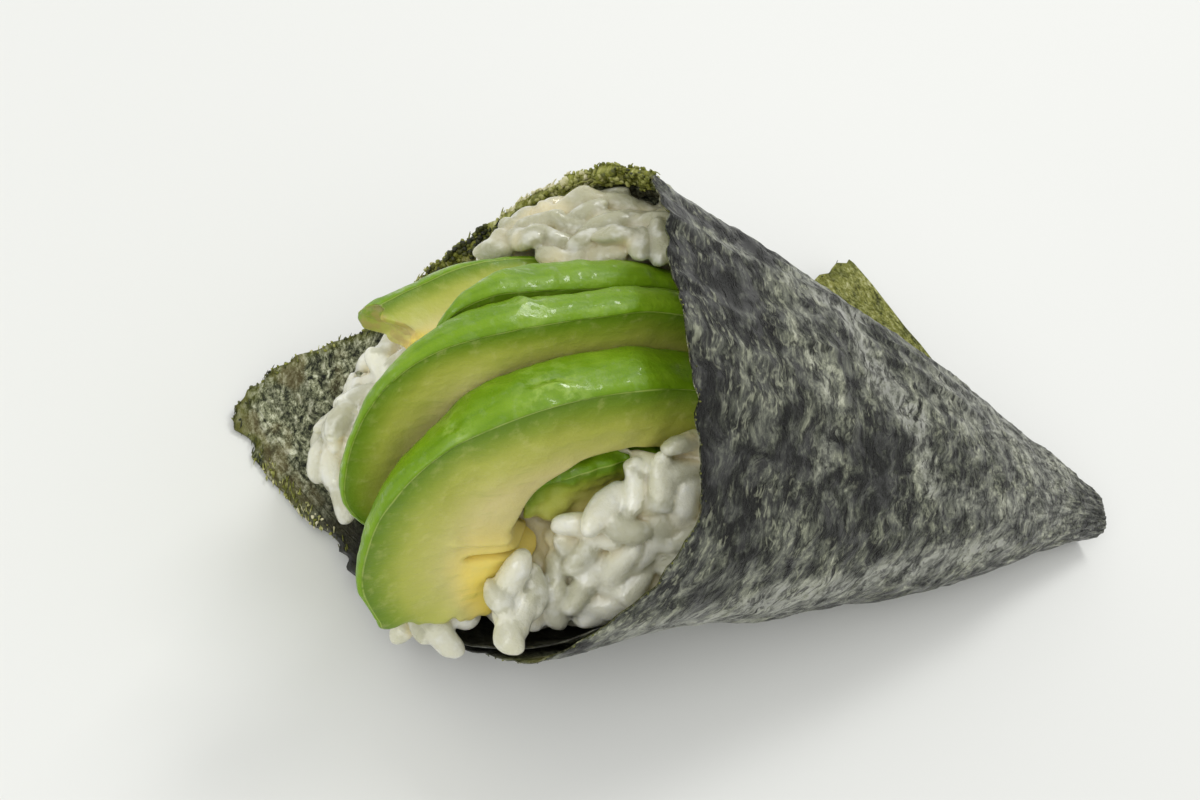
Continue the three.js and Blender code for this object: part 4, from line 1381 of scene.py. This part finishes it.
# Grains that lie on top where the heap shows, placed as the camera sees them: across and down
# in the frame, the lean of the grain clockwise from level in degrees, its size, and how far it
# stands off the heap in millimetres.
TOP_GRAINS = [
    (625, 469, 128, 1.0, 1), (663, 483, 92, 1.0, 1), (604, 509, 131, 1.12, 1), (623, 527, 18, 1, 1),
    (634, 493, 96, 0.95, 1), (585, 548, 125, 1.2, 1.2), (591, 572, 117, 1.1, 1),
    (620, 562, 124, 1.15, 1), (660, 524, 100, 1.0, 1), (684, 493, 95, 0.9, 1),
    (580, 590, 120, 1.0, 1), (602, 606, 172, 1.0, 1), (635, 585, 135, 0.8, 1),
    (557, 602, 92, 1.05, 1.5), (531, 543, 30, 0.95, 1), (554, 534, 112, 0.9, 1),
    (556, 567, 95, 0.8, 1), (645, 548, 120, 0.95, 1),
    (402, 630, 100, 0.6, 1), (440, 633, 50, 1.1, 1), (461, 614, 10, 0.8, 1), (422, 622, 70, 0.8, 1),
    (577, 195, 5, 1.1, 1), (611, 199, 170, 0.75, 1), (522, 229, 24, 1.2, 1), (552, 241, 24, 1.0, 1),
    (606, 228, 160, 1.2, 1), (630, 266, 20, 1.1, 1), (640, 244, 95, 0.85, 1), (659, 240, 86, 1, 1),
    (495, 250, 166, 0.85, 1), (585, 215, 150, 1.0, 1), (575, 228, 20, 1.1, 1), (560, 258, 10, 0.9, 1),
    (600, 255, 175, 0.9, 1), (540, 222, 160, 1.0, 1), (633, 222, 10, 1.0, 1),
    (324, 440, 100, 1.0, 1), (333, 470, 80, 1.0, 1), (343, 418, 130, 0.95, 1),
    (384, 370, 50, 1.0, 1), (341, 500, 70, 0.9, 1), (330, 408, 95, 0.9, 1), (318, 462, 95, 0.9, 1),
]
# The clump in front of the first slice, in the same way, off the nearest thing behind it.
CLUMP = [
    (519, 556, 62, 0.9, 3.4), (531, 570, 78, 1.0, 3.1), (513, 577, 112, 1.0, 3.0),
    (500, 597, 58, 0.95, 3.9), (517, 596, 85, 1.15, 3.0), (533, 592, 95, 1.0, 2.0),
    (507, 619, 70, 1.05, 2.6), (523, 612, 112, 1.0, 2.4), (510, 632, 80, 0.8, 3.0),
    (534, 585, 95, 1.0, -0.4), (520, 604, 80, 1.0, -0.4), (538, 606, 100, 0.9, -0.6),
    (541, 578, 80, 0.9, -0.6), (550, 572, 80, 0.9, -1.8), (552, 590, 95, 0.9, -2.0),
]
# How much deeper than the nearest thing behind it the clump may reach, in millimetres.
CLUMP_DEPTH = 2.0


def grain_points(size, width, bend):
    """A cooked grain along +X: blunt, fuller at one end, a little flat, and bent. Its bend also
    sets how blunt, full and flat it is, so that no two are alike."""
    ring_at = np.linspace(0.05, math.pi - 0.05, GRAIN_RINGS)
    round_at = np.linspace(0, 2 * math.pi, GRAIN_SECTION, endpoint=False)
    x = -np.cos(ring_at) * size / 2
    blunt = 0.85 + 0.35 * math.sin(41 * bend)
    fuller = 0.12 + 0.1 * math.sin(67 * bend)
    flat = 0.84 + 0.1 * math.sin(89 * bend)
    radius = np.sin(ring_at) ** blunt * width / 2 * (1 - fuller * np.cos(ring_at))
    points = np.stack([
        np.repeat(x[:, None], GRAIN_SECTION, axis=1),
        radius[:, None] * np.cos(round_at)[None],
        flat * radius[:, None] * np.sin(round_at)[None],
    ], axis=-1)
    points[..., 1] += bend * (points[..., 0] ** 2 / (size / 2) ** 2 - 0.4)
    return points.reshape(-1, 3)


def tree_of(parts):
    """A search tree over several meshes."""
    points, faces = merged(parts)
    return BVHTree.FromPolygons([tuple(p) for p in points], faces)


def heap_core():
    """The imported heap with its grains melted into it."""
    points, faces = solid_arrays("rice")
    points, faces = with_modifier(points, faces, "REMESH", mode="VOXEL", voxel_size=CORE_VOXEL)
    points, faces = with_modifier(points, faces, "SMOOTH", **CORE_SMOOTHING)
    points = points - point_normals(points, faces) * CORE_SHRINK
    over = np.maximum(past_rim(points, CORE_BELOW_RIM), 0)[:, None]
    points = points + over * unit(APEX - points)
    points[:, 0] += HOLLOW_DEPTH * hollow(points)
    return points, faces


def hollow(points):
    """Where the heap falls back, low beside the fan of slices: from 0 to 1."""
    return eased(-points[:, 1], *HOLLOW_Y) * eased(-points[:, 0], *HOLLOW_X)


def cone_place(points):
    """The wrap angle from 360 to 720 degrees, the distance from the apex, and how far in from
    the sheet, at points."""
    away = points - APEX
    gauge = APEX + away * ((GAUGE_X - APEX[0]) / np.minimum(away[:, 0], -1))[:, None]
    across = (gauge[:, 1] - SECTION["centre_y"]) / SECTION["half_width"]
    up = (gauge[:, 2] - APEX[2] + FLAT_DEPTH) / SECTION["half_height"] - 1
    power = SECTION["power"]
    share = (np.abs(across) ** power + np.abs(up) ** power) ** (1 / power)
    inward = np.maximum(1 - share, 0) * SECTION["half_height"]
    return np.degrees(np.arctan2(up, across)) % 360 + 360, np.linalg.norm(away, axis=1), inward


def past_rim(points, below):
    """How far points stand past where the rice ends: some way below the rim behind it, and
    domed up from there."""
    angles, reach, inward = cone_place(points)
    ends = open_reach(angles) - below + inward
    return np.where(angles < BACK_RIM_TO, reach - ends, -1)


def grain_at(place, outward, lying, size, width, bend, lift):
    """One grain's points, lying on a surface at a place."""
    across = np.cross(outward, lying)
    shape = grain_points(size, width, bend)
    return place + outward * width * lift + shape @ np.stack([lying, across, outward])


class Heap:
    """The heap's core and what its grains have to stay clear of."""

    def __init__(self, settings):
        self.settings = settings
        self.points, self.faces = heap_core()
        self.normals = point_normals(self.points, self.faces)
        self.tree = BVHTree.FromPolygons([tuple(p) for p in self.points], self.faces)
        self.solid = tree_of([solid_arrays("rice")])
        self.slices = tree_of([solid_arrays(name) for name in SLICES])
        self.wrap = tree_of([solid_arrays("nori")])
        self.laid = []
        self.grains = []

    def crosses(self, grain, inside):
        """Whether a grain reaches into a slice, through the sheet or over the rim."""
        if np.max(past_rim(grain, BACK_RIM_HEIGHT)) > 0:
            return True
        start = Vector(inside)
        for point in map(Vector, grain[::TEST_EVERY]):
            near, normal, _, distance = self.slices.find_nearest(point)
            if distance < SLICE_NEAR and (point - near).dot(normal) < SLICE_GAP:
                return True
            step = point - start
            if self.wrap.ray_cast(start, step.normalized(), step.length + SHEET_GAP)[0]:
                return True
        return False

    def lay(self, place, outward, lying, size, bend, lift):
        """Adds a grain, pushed in or shortened where it would cross something."""
        width = self.settings.grain_width * (0.92 + 0.16 * bend)
        for shorter, lower in FITTINGS:
            grain = grain_at(place, outward, lying, size * shorter, width, bend - 0.5, lift - lower)
            if not self.crosses(grain, place - outward * TEST_DEPTH):
                self.grains.append(grain)
                self.laid.append(place)
                return

    def lay_seen(self, k, place, outward, sight, lean, size):
        """Lays a grain that leans as the camera sees it."""
        right, up, _ = camera_axes()
        turn = math.radians(lean)
        wanted = right * math.cos(turn) - up * math.sin(turn)
        slope = wanted @ outward / min(sight @ outward, LEAST_SQUARE)
        slope = np.clip(slope, -MOST_LEAN, MOST_LEAN)
        lying = unit(wanted - slope * sight)
        lying = unit(lying - outward * (lying @ outward))
        bend = 0.5 + 0.5 * math.sin(7.3 * k)
        self.lay(place, outward, lying, size * self.settings.grain_length, bend, 0)

    def lay_in_view(self):
        """Lays the grains that are placed as the camera sees them."""
        for k, (across, down, lean, size, off) in enumerate(TOP_GRAINS):
            start, sight = view_line(across, down)
            hit, outward, _, _ = self.tree.ray_cast(Vector(start), Vector(sight))
            if hit is None:
                hit, outward, _, _ = self.solid.ray_cast(Vector(start), Vector(sight))
                off = -SOLID_SINK
            if hit is None:
                continue
            outward = unit(np.array(outward) - TOWARDS_CAMERA * sight)
            self.lay_seen(k, np.array(hit) - sight * off, outward, sight, lean, size)

    def lay_clump(self):
        """Lays the clump that hangs out in front of the first slice."""
        lines = [view_line(across, down) for across, down, _, _, _ in CLUMP]
        hits = [self.first_behind(*line) for line in lines]
        deepest = min(distance for distance, _ in hits) + CLUMP_DEPTH
        for k, ((start, sight), (_, _, lean, size, off)) in enumerate(zip(lines, CLUMP)):
            distance, outward = hits[k]
            if distance > deepest:
                distance, outward = deepest, -sight
            place = start + sight * (distance - off)
            outward = unit(outward - TOWARDS_CAMERA * sight)
            self.lay_seen(k, place, outward, sight, lean, size)

    def first_behind(self, start, sight):
        """How far along a line of sight the nearest slice or rice is, and which way it faces."""
        nearest = math.inf, -sight
        for tree in (self.slices, self.tree):
            hit, outward, _, distance = tree.ray_cast(Vector(start), Vector(sight))
            if hit is not None and distance < nearest[0]:
                nearest = distance, np.array(outward)
        return nearest

    def scatter(self):
        """Lays seeded grains over the rest of the heap's skin."""
        random = np.random.default_rng(self.settings.seed)
        near_mouth = np.flatnonzero(self.points[:, 0] < MOUTH_SIDE_X)
        for _ in range(GRAIN_DRAWS):
            pick = near_mouth[random.integers(len(near_mouth))]
            turn, lift, stretch, bend = random.random(4)
            place, outward = self.points[pick], self.normals[pick]
            if np.min(np.linalg.norm(np.array(self.laid) - place, axis=1)) < self.settings.spacing:
                continue
            side = unit(np.cross(outward, (0.2, 0.3, 0.93)))
            up = np.cross(outward, side)
            grain_turn = math.pi * (0.35 * turn + 0.65 * bumps(place[None], 9, 51)[0])
            lying = side * math.cos(grain_turn) + up * math.sin(grain_turn)
            lying = unit(lying + outward * 0.5 * (stretch - 0.5))
            outward = unit(outward - lying * (outward @ lying))
            size = self.settings.grain_length * (0.84 + 0.24 * stretch)
            self.lay(place, outward, lying, size, bend, 0.3 * lift - 0.05)


def fused(first, others):
    """One closed skin round overlapping closed meshes, with nothing left inside it."""
    joined = bpy.data.collections.new("joined")
    for points, faces in others:
        mesh = bpy.data.meshes.new("joined")
        mesh.from_pydata(points.tolist(), [], faces)
        joined.objects.link(bpy.data.objects.new("joined", mesh))
    result = with_modifier(
        *first, "BOOLEAN", operation="UNION", operand_type="COLLECTION", collection=joined,
        solver="MANIFOLD",
    )
    for piece in list(joined.objects):
        bpy.data.meshes.remove(piece.data)
    bpy.data.collections.remove(joined)
    return result


def dented(grain, k):
    """A grain's points, pushed about by its own dents."""
    for size, amount in GRAIN_DENTS:
        push = [bumps(grain + 9 * k, size, 61 + axis) for axis in range(3)]
        grain = grain + amount * np.stack(push, axis=1)
    return grain


def stuck_together(heap, grains):
    """The core and its grains as one sticky skin, as points and triangles."""
    faces = flipped(tube_faces(GRAIN_RINGS, GRAIN_SECTION))
    points, faces = fused((heap.points, heap.faces), [(grain, faces) for grain in grains])
    points, faces = with_modifier(points, faces, "REMESH", mode="VOXEL", voxel_size=HEAP_VOXEL)
    points, faces = with_modifier(points, faces, "SMOOTH", **HEAP_SMOOTHING)
    kept = min(HEAP_TRIANGLES / (2 * len(faces)), 1)
    points, faces = with_modifier(
        points, faces, "DECIMATE", ratio=kept, use_collapse_triangulate=True,
    )
    return without_scraps(points, faces)


def nearest_of(middles, points):
    """Which of the middles each point is nearest to."""
    tree = KDTree(len(middles))
    for k, middle in enumerate(middles):
        tree.insert(middle, k)
    tree.balance()
    return np.array([tree.find(point)[1] for point in points])


def add_rice(settings):
    """The heap of rice. Each grain has a tone of its own, and the heap is greyed behind as painted
    shade.
    """
    heap = Heap(settings)
    heap.lay_in_view()
    heap.lay_clump()
    heap.scatter()
    grains = [dented(grain, k) for k, grain in enumerate(heap.grains)]
    points, faces = stuck_together(heap, grains)
    grain_there = nearest_of([grain.mean(axis=0) for grain in grains], points)
    height = np.array([heap.tree.find_nearest(Vector(point))[3] for point in points])
    # Painted shade: greyer behind and high up on the heap.
    behind = eased(points[:, 1], *SHADE_Y) * eased(points[:, 2], *SHADE_Z)
    rice = add_piece("rice_heap", points, faces, rice_finish(settings), ["rice"])
    set_values(rice, "deep", 1 - eased(height, *DEEP_HEIGHT))
    set_values(rice, "tone", 0.4 + 0.4 * np.sin(3.7 * grain_there) + 0.9 * behind)
    set_places(rice, "place", points)


# ---- Table, light and camera ----

# In metres: half the table's side, and each soft light's place, size and power in watts.
TABLE_HALF = 1.5
WINDOWS = {
    "window_behind": {"place": (0.24, 0.42, 0.62), "size": 0.24, "power": 1.7},
    "window_left": {"place": (-0.44, -0.3, 0.5), "size": 0.4, "power": 1.3},
}


def add_table(settings):
    """The table top that the roll lies on."""
    corners = [(-1, -1), (1, -1), (1, 1), (-1, 1)]
    points = [(x * TABLE_HALF, y * TABLE_HALF, 0) for x, y in corners]
    mesh = bpy.data.meshes.new("table")
    mesh.from_pydata(points, [], [(0, 1, 2, 3)])
    mesh.materials.append(table_finish(settings))
    table = bpy.data.objects.new("table", mesh)
    bpy.context.scene.collection.objects.link(table)


def add_light(settings):
    """Even daylight and two soft windows."""
    bpy.context.scene.view_settings.view_transform = "Standard"
    world = bpy.data.worlds.new("daylight")
    world.use_nodes = True
    sky = world.node_tree.nodes["Background"]
    sky.inputs["Color"].default_value = (1, 1, 1, 1)
    sky.inputs["Strength"].default_value = settings.daylight
    bpy.context.scene.world = world
    for name, window in WINDOWS.items():
        light = bpy.data.lights.new(name, "AREA")
        light.size = window["size"]
        light.energy = window["power"]
        lamp = bpy.data.objects.new(name, light)
        lamp.location = window["place"]
        lamp.rotation_euler = (-Vector(window["place"])).to_track_quat("-Z", "Y").to_euler()
        bpy.context.scene.collection.objects.link(lamp)


def camera_axes():
    """The camera's axes to the right, up and forward."""
    forward = unit(np.array(CAMERA_FORWARD))
    right = unit(np.cross(forward, CAMERA_UP))
    return right, np.cross(right, forward), forward


def view_line(across, down):
    """Where the camera stands, and the direction it sees a place in the frame in."""
    right, up, forward = camera_axes()
    x, y = across - FRAME_WIDTH / 2, FRAME_HEIGHT / 2 - down
    return np.array(CAMERA_PLACE), unit(right * x + up * y + forward * FOCUS)


def add_camera(settings):
    """The camera, at its place over the open mouth."""
    right, up, forward = camera_axes()
    axes = Matrix((right, up, -forward)).transposed().to_4x4()
    data = bpy.data.cameras.new("camera")
    data.lens = settings.lens
    data.sensor_width = SENSOR_WIDTH
    camera = bpy.data.objects.new("camera", data)
    camera.matrix_world = Matrix.Translation(Vector(CAMERA_PLACE) * MM) @ axes
    bpy.context.scene.collection.objects.link(camera)
    bpy.context.scene.camera = camera


# ---- Operators and panel ----


class HANDROLL_OT_seaweed(bpy.types.Operator):
    """Winds the seaweed sheet round the roll"""

    bl_idname = "hand_roll.seaweed"
    bl_label = "Seaweed Sheet"

    def execute(self, context):
        add_sheet(context.scene.hand_roll.seaweed)
        return {"FINISHED"}


class HANDROLL_OT_avocado(bpy.types.Operator):
    """Cuts the fan of avocado slices"""

    bl_idname = "hand_roll.avocado"
    bl_label = "Avocado Slices"

    def execute(self, context):
        add_slices(context.scene.hand_roll.avocado)
        return {"FINISHED"}


class HANDROLL_OT_rice(bpy.types.Operator):
    """Packs the heap of rice, grain by grain"""

    bl_idname = "hand_roll.rice"
    bl_label = "Rice"

    def execute(self, context):
        add_rice(context.scene.hand_roll.rice)
        return {"FINISHED"}


class HANDROLL_OT_stage(bpy.types.Operator):
    """Sets the table, the soft light and the camera"""

    bl_idname = "hand_roll.stage"
    bl_label = "Stage"

    def execute(self, context):
        settings = context.scene.hand_roll.stage
        add_table(settings)
        add_light(settings)
        add_camera(settings)
        return {"FINISHED"}


class HANDROLL_PT_sidebar(bpy.types.Panel):
    """Lists the steps that build the hand roll"""

    bl_idname = "HANDROLL_PT_sidebar"
    bl_label = "Hand Roll"
    bl_space_type = "VIEW_3D"
    bl_region_type = "UI"
    bl_category = "Hand Roll"

    def draw(self, context):
        settings = context.scene.hand_roll
        for operator, group in STEPS:
            box = self.layout.box()
            box.operator(operator.bl_idname)
            values = getattr(settings, group)
            for name in values.__annotations__:
                box.prop(values, name)


STEPS = [
    (HANDROLL_OT_seaweed, "seaweed"),
    (HANDROLL_OT_avocado, "avocado"),
    (HANDROLL_OT_rice, "rice"),
    (HANDROLL_OT_stage, "stage"),
]
CLASSES = [
    SeaweedSettings, RiceSettings, AvocadoSettings, StageSettings, HandRollSettings,
    *(operator for operator, _ in STEPS), HANDROLL_PT_sidebar,
]


def register():
    for cls in CLASSES:
        bpy.utils.register_class(cls)
    bpy.types.Scene.hand_roll = PointerProperty(type=HandRollSettings)


def unregister():
    del bpy.types.Scene.hand_roll
    for cls in reversed(CLASSES):
        bpy.utils.unregister_class(cls)


def main():
    """Builds everything."""
    register()
    bpy.ops.hand_roll.seaweed()
    bpy.ops.hand_roll.avocado()
    bpy.ops.hand_roll.rice()
    bpy.ops.hand_roll.stage()


if __name__ == "__main__":
    main()
